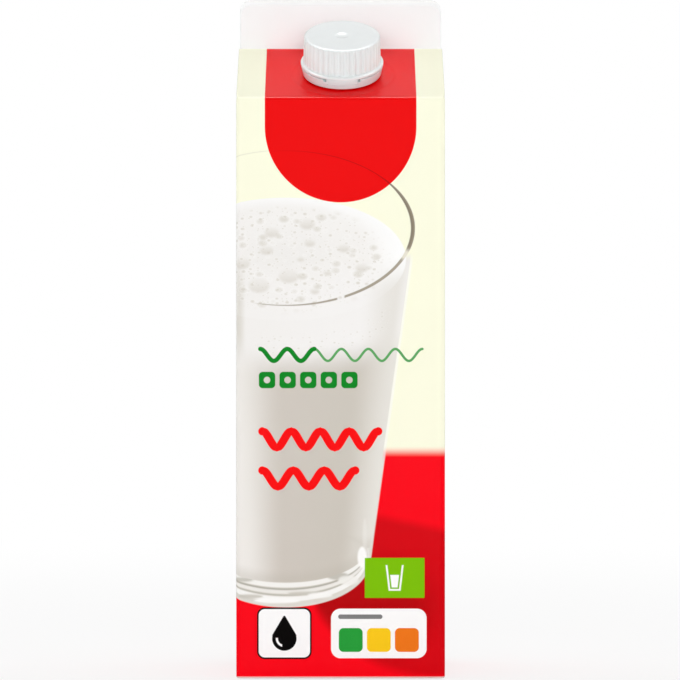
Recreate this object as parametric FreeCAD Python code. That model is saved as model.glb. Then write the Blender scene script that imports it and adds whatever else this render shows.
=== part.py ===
"""One-litre gable-top drinks carton with a tethered screw cap on its front roof panel.

Frame, in millimetres: the origin is the centre of the footprint on the surface that the pack stands
on, +Z is up, and -Y is the front, so the front panel's outer face is the plane y = -DEPTH / 2.
Each function makes one sub-part as a closed solid, and main() writes each to parts/NODE.step.
"""

import FreeCAD
import Part
import math
import os

from FreeCAD import Placement, Rotation, Vector

# The folded board pack.
WIDTH = 70.0  # across the front panel
DEPTH = 70.0  # front panel to back panel
BODY_HEIGHT = 194.6  # from the base to the roof folds
ROOF_RISE = 19.0  # upright height from the roof folds to the ridge
FIN_HEIGHT = 16.8  # from the ridge to the top edge of the back layers
BOARD = 0.45  # one layer of coated board
CORNER_RADIUS = 1.6  # the four upright folds
ROOF_FOLD_RADIUS = 1.2  # the fold between each panel and the roof
RIDGE_FOLD_RADIUS = 0.8  # the inward fold between the roof and the fin
BASE_FOLD_RADIUS = 0.8  # the bottom edges
GUSSET_GAP = 1.0  # from the middle of the ridge to the tip of each side gusset

# The sealed fin along the ridge: two layers from the front and two from the back.
FIN_INSET = 0.4  # how far each end of the fin stops short of the panels' sides
FIN_CORNER_RADIUS = 3.5
FIN_STEP = 1.7  # how far the front layers stop below the back layers
FIN_EDGE_RADIUS = 0.15
FIN_GROOVE_DEPTH = 0.5  # the line between front and back layers at each end of the fin
FIN_GROOVE_WIDTH = 0.3

# The glued side seam, along the upright fold at the left of the back.
SEAM_INSET = 1.8  # from the back face to the cut edge of the side panel

# The folded base.
BASE_RIM = 3.2  # width of the rim that the pack stands on
BASE_RECESS = 1.5  # how far the closed flaps are pressed in
BASE_SLOPE = 1.6  # how far the sides of the recess lean in
BASE_FLAP_REACH = 52.0  # from the front of the recess to the free edge of the outer flap

# The spout, which carries the cap. In the closure's own frame the axis is square to the roof and
# zero is the roof's surface.
CAP_SEAT = 18.5  # along the roof, from the front fold to the closure's axis
CAP_OFFSET = 0.5  # how far the closure sits to the right of the middle
NECK_RADIUS = 11.6

# The ribbed screw cap.
NECK_CLEARANCE = 0.2  # radial, between the neck and the cap's bore
CAP_GAP = 0.45  # between the roof and the bottom of the tamper band
CAP_HEIGHT = 14.0  # from the bottom of the band to the top
SKIRT_DEPTH = 5.2  # from the bottom of the band to the underside of the cap
SKIRT_WALL = 1.1  # at the top edge
SKIRT_DRAFT = 0.2  # how much wider the ribbed wall is at its foot
CAP_EDGE_RADIUS = 1.0  # the rounded edge of the top
RIB_COUNT = 40
RIB_DEPTH = 0.32
RIB_GROOVE_RADIUS = 0.8
DIMPLE_RADIUS = 2.3  # the moulding mark in the middle of the top
DIMPLE_DEPTH = 0.45
LIP_PROUD = 0.9  # how far the lip stands out from the foot of the ribbed wall
LIP_HEIGHT = 1.1
LIP_BEVEL = 0.35

# The tamper band below the lip, with the slit between them and the moulding that bridges it.
BAND_HEIGHT = 3.2
BAND_STEP = 0.15  # how far the band's top edge lies inside the lip
BAND_TAPER = 0.65  # how much narrower the band is at its foot
BAND_EDGE_RADIUS = 0.3
SLIT_HEIGHT = 0.4
BRIDGE_COUNT = 9
BRIDGE_WIDTH = 0.8
TETHER_WIDTH = 10.8  # the unbroken stretch at the front that still joins cap and band
NOTCH_WIDTH = 1.3  # the wider openings at the ends of the tether
NOTCH_HEIGHT = 1.2
TETHER_GROOVE_LEVEL = 1.5  # above the bottom of the band
TETHER_GROOVE_HEIGHT = 0.3
TETHER_GROOVE_DEPTH = 0.3
TETHER_TURN = -90.0  # degrees round the axis, down the roof towards the front

# What follows from them.
CUT = 1.0  # how far a cutting tool runs past the solid that it cuts
HALF_WIDTH = WIDTH / 2
HALF_DEPTH = DEPTH / 2
FIN_HALF = 2 * BOARD
RIDGE = BODY_HEIGHT + ROOF_RISE
TOP = RIDGE + FIN_HEIGHT
PANEL_TOP = BODY_HEIGHT - 1.5 * ROOF_FOLD_RADIUS  # where the upright panels end, clear of the folds
ROOF_ANGLE = math.atan2(ROOF_RISE, HALF_DEPTH - FIN_HALF)
FIN_END = HALF_WIDTH - FIN_INSET
CAP_BORE = NECK_RADIUS + NECK_CLEARANCE
CAP_TOP_RADIUS = CAP_BORE + SKIRT_WALL
CAP_FOOT_RADIUS = CAP_TOP_RADIUS + SKIRT_DRAFT
LIP_RADIUS = CAP_FOOT_RADIUS + LIP_PROUD
BAND_TOP_RADIUS = LIP_RADIUS - BAND_STEP
BAND_FOOT_RADIUS = BAND_TOP_RADIUS - BAND_TAPER
BAND_TOP = CAP_GAP + BAND_HEIGHT
LIP_FOOT = BAND_TOP + SLIT_HEIGHT
LIP_TOP = LIP_FOOT + LIP_HEIGHT
CAP_TOP = CAP_GAP + CAP_HEIGHT


def along_x(x, outline):
    """Puts (y, z) points in the plane at this x."""
    return [Vector(x, a, b) for a, b in outline]


def along_y(y, outline):
    """Puts (x, z) points in the plane at this y."""
    return [Vector(a, y, b) for a, b in outline]


def along_z(z, outline):
    """Puts (x, y) points in the plane at this z."""
    return [Vector(a, b, z) for a, b in outline]


def rounded_wire(points, radii):
    """A closed wire through points, with each corner rounded to its radius by a tangent arc."""
    corners = []
    for i, corner in enumerate(points):
        back = (points[i - 1] - corner).normalize()
        ahead = (points[(i + 1) % len(points)] - corner).normalize()
        half = back.getAngle(ahead) / 2
        run = radii[i] / math.tan(half)
        start = corner + back * run
        end = corner + ahead * run
        crown = corner + (back + ahead).normalize() * (radii[i] / math.sin(half) - radii[i])
        corners.append((start, crown, end))
    edges = []
    for i, (start, crown, end) in enumerate(corners):
        if radii[i] > 0:
            edges.append(Part.Arc(start, crown, end).toShape())
        following = corners[(i + 1) % len(corners)][0]
        if (following - end).Length > 1e-6:
            edges.append(Part.LineSegment(end, following).toShape())
    return Part.Wire(edges)


def prism(points, radii, push):
    """The outline with its corners rounded, pushed along a vector into a solid."""
    return Part.Face(rounded_wire(points, radii)).extrude(push)


def outer_block():
    """The pack's outside with no side pockets, as three prisms square to each other."""
    profile = [
        (-HALF_DEPTH, 0),
        (HALF_DEPTH, 0),
        (HALF_DEPTH, BODY_HEIGHT),
        (FIN_HALF, RIDGE),
        (FIN_HALF, TOP),
        (-FIN_HALF, TOP),
        (-FIN_HALF, RIDGE),
        (-HALF_DEPTH, BODY_HEIGHT),
    ]
    base = BASE_FOLD_RADIUS
    edge = FIN_EDGE_RADIUS
    folds = [ROOF_FOLD_RADIUS, RIDGE_FOLD_RADIUS]
    radii = [base, base, *folds, edge, edge, *reversed(folds)]
    block = prism(along_x(-HALF_WIDTH, profile), radii, Vector(WIDTH, 0, 0))

    front = [
        (-HALF_WIDTH, 0),
        (HALF_WIDTH, 0),
        (HALF_WIDTH, RIDGE),
        (FIN_END, RIDGE),
        (FIN_END, TOP),
        (-FIN_END, TOP),
        (-FIN_END, RIDGE),
        (-HALF_WIDTH, RIDGE),
    ]
    corner = FIN_CORNER_RADIUS
    radii = [base, base, 0, 0, corner, corner, 0, 0]
    block = block.common(prism(along_y(-HALF_DEPTH, front), radii, Vector(0, DEPTH, 0)))

    plan = [
        (-HALF_WIDTH, -HALF_DEPTH),
        (HALF_WIDTH, -HALF_DEPTH),
        (HALF_WIDTH, HALF_DEPTH),
        (-HALF_WIDTH, HALF_DEPTH),
    ]
    return block.common(prism(along_z(0, plan), [CORNER_RADIUS] * 4, Vector(0, 0, TOP)))


def side_pocket(side):
    """The space above one side gusset, under the doubled wings of the roof. side is 1 or -1."""
    doubled = 2 * BOARD
    reach = min(HALF_WIDTH, HALF_DEPTH) - GUSSET_GAP
    mouth = HALF_DEPTH - doubled / math.sin(ROOF_ANGLE)
    apex = BODY_HEIGHT + HALF_DEPTH * math.tan(ROOF_ANGLE) - doubled / math.cos(ROOF_ANGLE)

    under_roof = [
        (-mouth, PANEL_TOP),
        (mouth, PANEL_TOP),
        (mouth, BODY_HEIGHT),
        (0, apex),
        (-mouth, BODY_HEIGHT),
    ]
    tent = prism(along_x(0, under_roof), [0] * 5, Vector(side * (HALF_WIDTH + CUT), 0, 0))

    above_gusset = [
        (side * HALF_WIDTH, PANEL_TOP),
        (side * HALF_WIDTH, BODY_HEIGHT),
        (side * (HALF_WIDTH - reach), apex),
        (side * (HALF_WIDTH + CUT), apex),
        (side * (HALF_WIDTH + CUT), PANEL_TOP),
    ]
    radii = [0, ROOF_FOLD_RADIUS, 0, 0, 0]
    wedge = prism(along_y(-HALF_DEPTH, above_gusset), radii, Vector(0, DEPTH, 0))
    return tent.common(wedge)


def fin_front_step():
    """What the front layers of the fin leave free below the top edge of the back layers."""
    low = TOP - FIN_STEP - FIN_CORNER_RADIUS
    kept = [
        (-FIN_END, low - CUT),
        (FIN_END, low - CUT),
        (FIN_END, TOP - FIN_STEP),
        (-FIN_END, TOP - FIN_STEP),
    ]
    radii = [0, 0, FIN_CORNER_RADIUS, FIN_CORNER_RADIUS]
    thick = FIN_HALF + CUT
    layers = prism(along_y(-thick, kept), radii, Vector(0, thick, 0))
    corner = Vector(-FIN_END - CUT, -thick, low)
    block = Part.makeBox(2 * (FIN_END + CUT), thick, TOP - low + CUT, corner)
    return block.cut(layers)


def fin_groove(side):
    """The line between the front and back layers at one end of the fin. side is 1 or -1."""
    mouth = FIN_GROOVE_WIDTH / 2 * (1 + CUT / FIN_GROOVE_DEPTH)
    section = [
        (side * (FIN_END - FIN_GROOVE_DEPTH), 0),
        (side * (FIN_END + CUT), -mouth),
        (side * (FIN_END + CUT), mouth),
    ]
    return prism(along_z(RIDGE, section), [0] * 3, Vector(0, 0, FIN_HEIGHT + CUT))


def base_recess():
    """The pressed-in base: a shallow tray upside down, less the outer flap that closes it."""
    wide, deep = HALF_WIDTH - BASE_RIM, HALF_DEPTH - BASE_RIM
    lean = BASE_SLOPE * (1 + CUT / BASE_RECESS)

    def tray(half):
        return [
            (-half - lean + BASE_SLOPE, -CUT),
            (half + lean - BASE_SLOPE, -CUT),
            (half - BASE_SLOPE, BASE_RECESS),
            (-half + BASE_SLOPE, BASE_RECESS),
        ]

    along = prism(along_x(-HALF_WIDTH, tray(deep)), [0] * 4, Vector(WIDTH, 0, 0))
    across = prism(along_y(-HALF_DEPTH, tray(wide)), [0] * 4, Vector(0, DEPTH, 0))
    flap = Part.makeBox(
        WIDTH,
        BASE_FLAP_REACH,
        BOARD + CUT,
        Vector(-HALF_WIDTH, -deep, BASE_RECESS - BOARD),
    )
    return along.common(across).cut(flap)


def side_seam():
    """The strip where the side panel stops short of the fold and the glued flap shows."""
    corner = Vector(-HALF_WIDTH - CUT, HALF_DEPTH - SEAM_INSET, -CUT)
    return Part.makeBox(BOARD + CUT, SEAM_INSET + CUT, PANEL_TOP + CUT, corner)


def carton():
    """The filled and sealed pack: body, gable roof, folded-in sides, fin and base, in one piece."""
    solid = outer_block()
    for tool in (
        side_pocket(1),
        side_pocket(-1),
        fin_front_step(),
        fin_groove(1),
        fin_groove(-1),
        base_recess(),
        side_seam(),
    ):
        solid = solid.cut(tool)
    return solid


def turned(profile, radii, angle=360.0):
    """A (radius, height) outline turned about the closure's axis, starting at the +X side."""
    face = Part.Face(rounded_wire(along_y(0, profile), radii))
    return face.revolve(Vector(0, 0, 0), Vector(0, 0, 1), angle)


def ring_sector(inner, outer, low, high, start, sweep):
    """Part of a ring about the closure's axis, from start degrees through sweep degrees."""
    section = [(inner, low), (outer, low), (outer, high), (inner, high)]
    sector = turned(section, [0] * 4, sweep)
    return sector.rotate(Vector(0, 0, 0), Vector(0, 0, 1), start)


def cap_blank():
    """The turned shape of the cap before its ribs, slit and moulding mark."""
    underside = CAP_GAP + SKIRT_DEPTH
    profile = [
        (CAP_BORE, CAP_GAP),
        (BAND_FOOT_RADIUS, CAP_GAP),
        (BAND_TOP_RADIUS, BAND_TOP),
        (BAND_TOP_RADIUS, LIP_FOOT),
        (LIP_RADIUS, LIP_FOOT),
        (LIP_RADIUS, LIP_TOP - LIP_BEVEL),
        (CAP_FOOT_RADIUS, LIP_TOP),
        (CAP_TOP_RADIUS, CAP_TOP),
        (0, CAP_TOP),
        (0, underside),
        (CAP_BORE, underside),
    ]
    radii = [0, BAND_EDGE_RADIUS, 0, 0, 0, 0, 0, CAP_EDGE_RADIUS, 0, 0, 0]
    return turned(profile, radii)


def rib_grooves():
    """The grooves that leave the ribs standing, each lying along the slightly tapered wall."""
    out = RIB_GROOVE_RADIUS - RIB_DEPTH
    start = Vector(CAP_FOOT_RADIUS + out, 0, LIP_TOP)
    end = Vector(CAP_TOP_RADIUS + out, 0, CAP_TOP)
    run = end - start
    first = Part.makeCylinder(RIB_GROOVE_RADIUS, run.Length + CUT, start, run)
    grooves = []
    for i in range(RIB_COUNT):
        groove = first.copy()
        groove.rotate(Vector(0, 0, 0), Vector(0, 0, 1), (i + 0.5) * 360.0 / RIB_COUNT)
        grooves.append(groove)
    return grooves


def band_angle(width):
    """The angle in degrees that a width takes up around the top of the band."""
    return math.degrees(width / BAND_TOP_RADIUS)


def band_slit():
    """The slit above the tamper band, broken by the bridges and by the tether at the front."""
    outer = LIP_RADIUS + CUT
    inner = CAP_BORE - CUT
    tether = band_angle(TETHER_WIDTH)
    notch = band_angle(NOTCH_WIDTH)
    bridge = band_angle(BRIDGE_WIDTH)
    pitch = (360.0 - tether) / (BRIDGE_COUNT + 1)
    cuts = []
    for i in range(BRIDGE_COUNT + 1):
        start = TETHER_TURN + tether / 2 + i * pitch
        end = start + pitch
        if i > 0:
            start += bridge / 2
        if i < BRIDGE_COUNT:
            end -= bridge / 2
        cuts.append(ring_sector(inner, outer, BAND_TOP, LIP_FOOT, start, end - start))
    for start in (TETHER_TURN + tether / 2, TETHER_TURN - tether / 2 - notch):
        cuts.append(ring_sector(inner, outer, LIP_FOOT - NOTCH_HEIGHT, LIP_FOOT, start, notch))
    return cuts


def tether_groove():
    """The shallow line across the front of the band, under the tether."""
    low = CAP_GAP + TETHER_GROOVE_LEVEL
    wall = BAND_FOOT_RADIUS + BAND_TAPER * TETHER_GROOVE_LEVEL / BAND_HEIGHT
    width = band_angle(TETHER_WIDTH)
    return ring_sector(
        wall - TETHER_GROOVE_DEPTH,
        LIP_RADIUS + CUT,
        low,
        low + TETHER_GROOVE_HEIGHT,
        TETHER_TURN - width / 2,
        width,
    )


def moulding_mark():
    """The shallow dish in the middle of the top, as a ball."""
    ball = (DIMPLE_RADIUS**2 + DIMPLE_DEPTH**2) / (2 * DIMPLE_DEPTH)
    centre = Vector(0, 0, CAP_TOP + ball - DIMPLE_DEPTH)
    return Part.makeSphere(ball, centre)


def screw_cap():
    """The ribbed cap with its tamper band, moulded as one piece."""
    tools = rib_grooves() + band_slit() + [tether_groove(), moulding_mark()]
    return cap_blank().cut(tools)


def spout():
    """The neck that stands on the roof and carries the cap."""
    return Part.makeCylinder(NECK_RADIUS, CAP_GAP + SKIRT_DEPTH)


def on_roof(shape):
    """Moves a piece from the closure's own frame to its seat on the front roof panel."""
    seat = Vector(
        CAP_OFFSET,
        -HALF_DEPTH + CAP_SEAT * math.cos(ROOF_ANGLE),
        BODY_HEIGHT + CAP_SEAT * math.sin(ROOF_ANGLE),
    )
    lean = Rotation(Vector(1, 0, 0), math.degrees(ROOF_ANGLE))
    placed = shape.copy()
    placed.Placement = Placement(seat, lean).multiply(placed.Placement)
    return placed


def main():
    """Makes every sub-part and writes it to its own file."""
    os.makedirs("parts", exist_ok=True)
    nodes = {
        "carton": carton(),
        "spout": on_roof(spout()),
        "screw_cap": on_roof(screw_cap()),
    }
    for name, shape in nodes.items():
        box = shape.BoundBox
        print(
            f"{name}: valid {shape.isValid()}, {len(shape.Solids)} solid,"
            f" {shape.Volume / 1000:.2f} cm3, x {box.XMin:.2f} {box.XMax:.2f},"
            f" y {box.YMin:.2f} {box.YMax:.2f}, z {box.ZMin:.2f} {box.ZMax:.2f}"
        )
        shape.exportStep(f"parts/{name}.step")


main()
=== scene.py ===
"""Looks of a one-litre gable-top buttermilk carton with a tethered screw cap.

The board pack, its folded base and its closure are modelled in millimetres and turned into metres
when a mesh is made. The front panel faces -Y. The print is laid out on the flat blank: u runs round
the pack from the middle of the front panel, and v runs up the board from the base.
"""

import logging
import math
from collections.abc import Callable
from dataclasses import dataclass, field
from enum import Enum

import bmesh
import bpy
import numpy as np
from mathutils import Matrix, Vector

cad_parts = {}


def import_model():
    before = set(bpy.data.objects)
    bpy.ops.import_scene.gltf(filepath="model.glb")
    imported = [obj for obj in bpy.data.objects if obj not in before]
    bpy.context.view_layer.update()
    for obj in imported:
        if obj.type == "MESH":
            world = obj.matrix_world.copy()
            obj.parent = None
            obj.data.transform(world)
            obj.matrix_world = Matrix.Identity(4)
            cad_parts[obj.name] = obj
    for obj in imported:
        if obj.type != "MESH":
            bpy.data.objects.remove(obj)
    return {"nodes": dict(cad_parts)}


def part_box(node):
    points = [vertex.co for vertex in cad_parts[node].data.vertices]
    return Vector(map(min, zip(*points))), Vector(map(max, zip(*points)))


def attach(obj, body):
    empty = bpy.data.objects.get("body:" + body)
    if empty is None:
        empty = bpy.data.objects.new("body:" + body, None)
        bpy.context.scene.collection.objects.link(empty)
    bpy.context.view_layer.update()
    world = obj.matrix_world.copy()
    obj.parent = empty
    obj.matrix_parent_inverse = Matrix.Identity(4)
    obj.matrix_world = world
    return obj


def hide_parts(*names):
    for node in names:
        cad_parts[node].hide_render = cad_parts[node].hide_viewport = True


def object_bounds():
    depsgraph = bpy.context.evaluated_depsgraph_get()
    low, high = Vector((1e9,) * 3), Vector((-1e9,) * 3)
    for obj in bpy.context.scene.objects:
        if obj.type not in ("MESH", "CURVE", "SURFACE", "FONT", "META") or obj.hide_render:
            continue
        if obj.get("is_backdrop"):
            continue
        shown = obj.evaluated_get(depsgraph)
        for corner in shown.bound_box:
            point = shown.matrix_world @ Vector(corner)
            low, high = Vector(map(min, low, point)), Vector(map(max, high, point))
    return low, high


log = logging.getLogger("carton")
MM = 0.001
MERGE_WITHIN = 0.002 * MM
SLIVER = 0.001 * MM
BODY = "root"

Colour = tuple[float, float, float]
Stops = tuple[tuple[float, Colour], ...]
Oval = tuple[float, float, float]  # the middle's height on the blank, half the width, half the height


def rgb(red: float, green: float, blue: float) -> tuple[float, float, float, float]:
    """Turns display values from 0 to 255 into the linear colour that a shader takes.

    Args:
        red: The red value.
        green: The green value.
        blue: The blue value.

    Returns:
        Linear red, green, blue and an alpha of one.
    """

    def linear(value: float) -> float:
        """Undoes the display curve of one channel."""
        share = value / 255
        return share / 12.92 if share <= 0.04045 else ((share + 0.055) / 1.055) ** 2.4

    return (linear(red), linear(green), linear(blue), 1.0)


# ---------------------------------------------------------------------------------------------
# Mesh helpers


def new_mesh(name: str, points: np.ndarray, faces: list[tuple[int, ...]]) -> bpy.types.Mesh:
    """Makes a mesh in metres.

    Args:
        name: The mesh's name.
        points: One row of x, y, z in millimetres for each vertex.
        faces: The vertex numbers of each face.

    Returns:
        The new mesh.
    """
    mesh = bpy.data.meshes.new(name)
    mesh.from_pydata((np.asarray(points, float) * MM).tolist(), [], faces)
    mesh.update()
    return mesh


def ring_faces(first: int, rings: int, count: int) -> list[tuple[int, ...]]:
    """The faces that join closed rings of points, ring by ring.

    Args:
        first: The first point of the first ring.
        rings: How many rings there are.
        count: How many points each ring has.

    Returns:
        The vertex numbers of each face.
    """
    faces = []
    for start in range(first, first + (rings - 1) * count, count):
        for place in range(count):
            onward = (place + 1) % count
            faces.append((start + place, start + onward, start + count + onward, start + count + place))
    return faces


def finish_mesh(mesh: bpy.types.Mesh, sharp_deg: float, recalculate: bool = True) -> None:
    """Merges doubles, drops faces with no area, turns faces outwards and smooths the mesh.

    Args:
        mesh: The mesh to finish in place.
        sharp_deg: Edges that turn by more than this stay sharp.
        recalculate: Whether the faces are turned outwards anew.
    """
    work = bmesh.new()
    work.from_mesh(mesh)
    bmesh.ops.remove_doubles(work, verts=work.verts, dist=MERGE_WITHIN)
    bmesh.ops.dissolve_degenerate(work, edges=work.edges, dist=SLIVER)
    if recalculate:
        bmesh.ops.recalc_face_normals(work, faces=work.faces)
    for face in work.faces:
        face.smooth = True
    work.to_mesh(mesh)
    work.free()
    mesh.set_sharp_from_angle(angle=math.radians(sharp_deg))
    mesh.update()


def new_object(name: str, mesh: bpy.types.Mesh, material: bpy.types.Material) -> bpy.types.Object:
    """Puts a mesh in the scene under one material.

    Args:
        name: The piece's name.
        mesh: Its mesh.
        material: Its finish.

    Returns:
        The new object, at the origin.
    """
    mesh.materials.clear()
    mesh.materials.append(material)
    piece = bpy.data.objects.new(name, mesh)
    bpy.context.collection.objects.link(piece)
    return piece


def place_in_frame(piece: bpy.types.Object, node: str | None) -> None:
    """Reports a finished piece to the frame and to the log.

    Args:
        piece: The finished piece.
        node: The CAD node that it stands for, or None.
    """
    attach(piece, BODY)
    if node:
        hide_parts(node)
    log.info("%s: %d faces", piece.name, len(piece.data.polygons))


def smooth_step(low: float, high: float, value: np.ndarray) -> np.ndarray:
    """Rises smoothly from 0 at low to 1 at high.

    Args:
        low: Where the step starts.
        high: Where the step ends.
        value: The values to take the step of.

    Returns:
        The step at each value.
    """
    share = np.clip((np.asarray(value, float) - low) / (high - low), 0, 1)
    return share * share * (3 - 2 * share)


# ---------------------------------------------------------------------------------------------
# Shader helpers


def add_node(
    tree: bpy.types.NodeTree,
    kind: str,
    inputs: dict[str | int, object] | None = None,
    **settings: object,
) -> bpy.types.Node:
    """Adds a node.

    Args:
        tree: The node tree.
        kind: The node's type.
        inputs: What each input takes. A socket is linked, and any other value is set.
        **settings: The node's own settings, which come before its inputs.

    Returns:
        The node.
    """
    node = tree.nodes.new(kind)
    for name, value in settings.items():
        setattr(node, name, value)
    for place, value in (inputs or {}).items():
        if isinstance(value, bpy.types.NodeSocket):
            tree.links.new(value, node.inputs[place])
        else:
            node.inputs[place].default_value = value
    return node


def clear_nodes(owner: bpy.types.Material | bpy.types.World) -> bpy.types.NodeTree:
    """Turns on the nodes of a material or a world, empties them and returns the tree."""
    owner.use_nodes = True
    owner.node_tree.nodes.clear()
    return owner.node_tree


@dataclass(frozen=True)
class Term:
    """A value in a shader, which ordinary arithmetic turns into math nodes."""

    tree: bpy.types.NodeTree
    socket: bpy.types.NodeSocket

    def math(self, operation: str, *others: "Term | float") -> "Term":
        """Adds a math node.

        Args:
            operation: The node's operation.
            *others: The further inputs.

        Returns:
            The node's result.
        """
        inputs = {}
        for place, value in enumerate((self, *others)):
            inputs[place] = value.socket if isinstance(value, Term) else value
        node = add_node(self.tree, "ShaderNodeMath", inputs, operation=operation)
        return Term(self.tree, node.outputs[0])

    def __add__(self, other: "Term | float") -> "Term":
        """The sum."""
        return self.math("ADD", other)

    def __sub__(self, other: "Term | float") -> "Term":
        """The difference."""
        return self.math("SUBTRACT", other)

    def __mul__(self, other: "Term | float") -> "Term":
        """The product."""
        return self.math("MULTIPLY", other)

    def __truediv__(self, other: "Term | float") -> "Term":
        """The quotient."""
        return self.math("DIVIDE", other)

    def __abs__(self) -> "Term":
        """The size without its sign."""
        return self.math("ABSOLUTE")

    def least(self, other: "Term | float") -> "Term":
        """The smaller of two."""
        return self.math("MINIMUM", other)

    def most(self, other: "Term | float") -> "Term":
        """The larger of two."""
        return self.math("MAXIMUM", other)

    def sqrt(self) -> "Term":
        """The square root."""
        return self.math("SQRT")

    def step(self, low: float, high: float) -> "Term":
        """Goes smoothly from 0 at low to 1 at high, where high may be the smaller.

        Args:
            low: Where the result is 0.
            high: Where the result is 1.

        Returns:
            The smooth step.
        """
        inputs = {
            "Value": self.socket,
            "From Min": min(low, high),
            "From Max": max(low, high),
            "To Min": float(low > high),
            "To Max": float(low <= high),
        }
        node = add_node(self.tree, "ShaderNodeMapRange", inputs, interpolation_type="SMOOTHSTEP")
        return Term(self.tree, node.outputs["Result"])


def length(across: Term, up: Term) -> Term:
    """The length of a vector of two terms."""
    return (across * across + up * up).sqrt()


@dataclass(frozen=True)
class Sheet:
    """The flat blank as a drawing board. Distances are in millimetres and negative inside a shape."""

    u: Term
    v: Term

    def disc(self, u: float, v: float, radius: float) -> Term:
        """The distance to a disc."""
        return length(self.u - u, self.v - v) - radius

    def oval(self, u: float, v: float, wide: float, high: float) -> Term:
        """The distance to an ellipse, near its edge.

        Args:
            u: The centre's u.
            v: The centre's v.
            wide: Half its width.
            high: Half its height.

        Returns:
            The distance.
        """
        across = (self.u - u) / wide
        up = (self.v - v) / high
        reach = length(across, up)
        slope = length(across / wide, up / high)
        return reach * (reach - 1.0) / slope.most(1e-4)

    def box(self, u: float, v: float, wide: float, high: float, corner: float) -> Term:
        """The distance to a rounded box.

        Args:
            u: The centre's u.
            v: The centre's v.
            wide: Half its width.
            high: Half its height.
            corner: The radius of its corners.

        Returns:
            The distance.
        """
        across = abs(self.u - u) - (wide - corner)
        up = abs(self.v - v) - (high - corner)
        outside = length(across.most(0.0), up.most(0.0))
        return outside + across.most(up).least(0.0) - corner


@dataclass
class Painter:
    """Lays one colour over another in a shader."""

    tree: bpy.types.NodeTree
    colour: bpy.types.NodeSocket

    def lay(self, mask: Term, colour: Colour | bpy.types.NodeSocket) -> None:
        """Lays a colour where the mask is 1.

        Args:
            mask: Where the colour goes.
            colour: Its display values, or the socket that makes it.
        """
        over = colour if isinstance(colour, bpy.types.NodeSocket) else rgb(*colour)
        inputs = {0: mask.socket, 6: self.colour, 7: over}
        self.colour = add_node(self.tree, "ShaderNodeMix", inputs, data_type="RGBA").outputs[2]

    def print_shape(self, distance: Term, colour: Colour, edge: float = 0.1) -> None:
        """Prints a shape in a plain colour.

        Args:
            distance: The distance to the shape.
            colour: Its display values.
            edge: How soft its edge is, each way.
        """
        self.lay(distance.step(edge, -edge), colour)


def paint_in_group(
    name: str,
    sheet: Sheet,
    paint: Painter,
    work: Callable,
    masks: tuple[Term, ...] = (),
) -> None:
    """Paints one picture in a node group of its own, which keeps each tree small.

    Args:
        name: The group's name.
        sheet: The blank.
        paint: The colours laid so far.
        work: What paints it. It takes a sheet, a painter and the masks, all inside the group.
        masks: Further terms that it reads.
    """
    group = bpy.data.node_groups.new(name, "ShaderNodeTree")
    terms = (sheet.u, sheet.v, *masks)
    for place in range(len(terms)):
        group.interface.new_socket(f"Value {place}", in_out="INPUT", socket_type="NodeSocketFloat")
    group.interface.new_socket("Under", in_out="INPUT", socket_type="NodeSocketColor")
    group.interface.new_socket("Over", in_out="OUTPUT", socket_type="NodeSocketColor")
    source = group.nodes.new("NodeGroupInput")
    result = group.nodes.new("NodeGroupOutput")
    inner = [Term(group, source.outputs[place]) for place in range(len(terms))]
    painter = Painter(group, source.outputs["Under"])
    work(Sheet(inner[0], inner[1]), painter, *inner[2:])
    group.links.new(painter.colour, result.inputs["Over"])
    inputs = {place: term.socket for place, term in enumerate(terms)} | {"Under": paint.colour}
    paint.colour = add_node(paint.tree, "ShaderNodeGroup", inputs, node_tree=group).outputs["Over"]


def new_material(name: str) -> tuple[bpy.types.Material, bpy.types.NodeTree, bpy.types.Node]:
    """Makes a material with an empty Principled shader.

    Args:
        name: The material's name.

    Returns:
        The material, its node tree and its shader node.
    """
    material = bpy.data.materials.new(name)
    tree = clear_nodes(material)
    shader = add_node(tree, "ShaderNodeBsdfPrincipled")
    add_node(tree, "ShaderNodeOutputMaterial", {0: shader.outputs[0]})
    return material, tree, shader


def colour_ramp(tree: bpy.types.NodeTree, value: Term, stops: Stops) -> bpy.types.NodeSocket:
    """Adds a colour ramp.

    Args:
        tree: The node tree.
        value: What the ramp reads.
        stops: Each stop's place from 0 to 1 and its display values.

    Returns:
        The ramp's colour.
    """
    node = add_node(tree, "ShaderNodeValToRGB", {0: value.socket})
    node.color_ramp.interpolation = "EASE"
    elements = node.color_ramp.elements
    while len(elements) < len(stops):
        elements.new(0.5)
    for element, (place, colour) in zip(elements, stops):
        element.position = place
        element.color = rgb(*colour)
    return node.outputs[0]


def noise(tree: bpy.types.NodeTree, where: bpy.types.NodeSocket, scale: float, detail: float) -> Term:
    """Adds a noise texture and returns its value.

    Args:
        tree: The node tree.
        where: The coordinates that it reads.
        scale: Its scale.
        detail: Its detail.

    Returns:
        The noise from 0 to 1.
    """
    node = add_node(tree, "ShaderNodeTexNoise", {"Vector": where, "Scale": scale, "Detail": detail})
    return Term(tree, node.outputs[0])


def add_bump(tree: bpy.types.NodeTree, shader: bpy.types.Node, height: Term, depth_mm: float) -> None:
    """Gives a shader a fine relief.

    Args:
        tree: The node tree.
        shader: The shader that takes the relief.
        height: The relief from 0 to 1.
        depth_mm: How deep it is.
    """
    relief = {"Height": height.socket, "Strength": 1.0, "Distance": depth_mm * MM}
    bump = add_node(tree, "ShaderNodeBump", relief)
    tree.links.new(bump.outputs[0], shader.inputs["Normal"])


# ---------------------------------------------------------------------------------------------
# The folded pack


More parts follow.
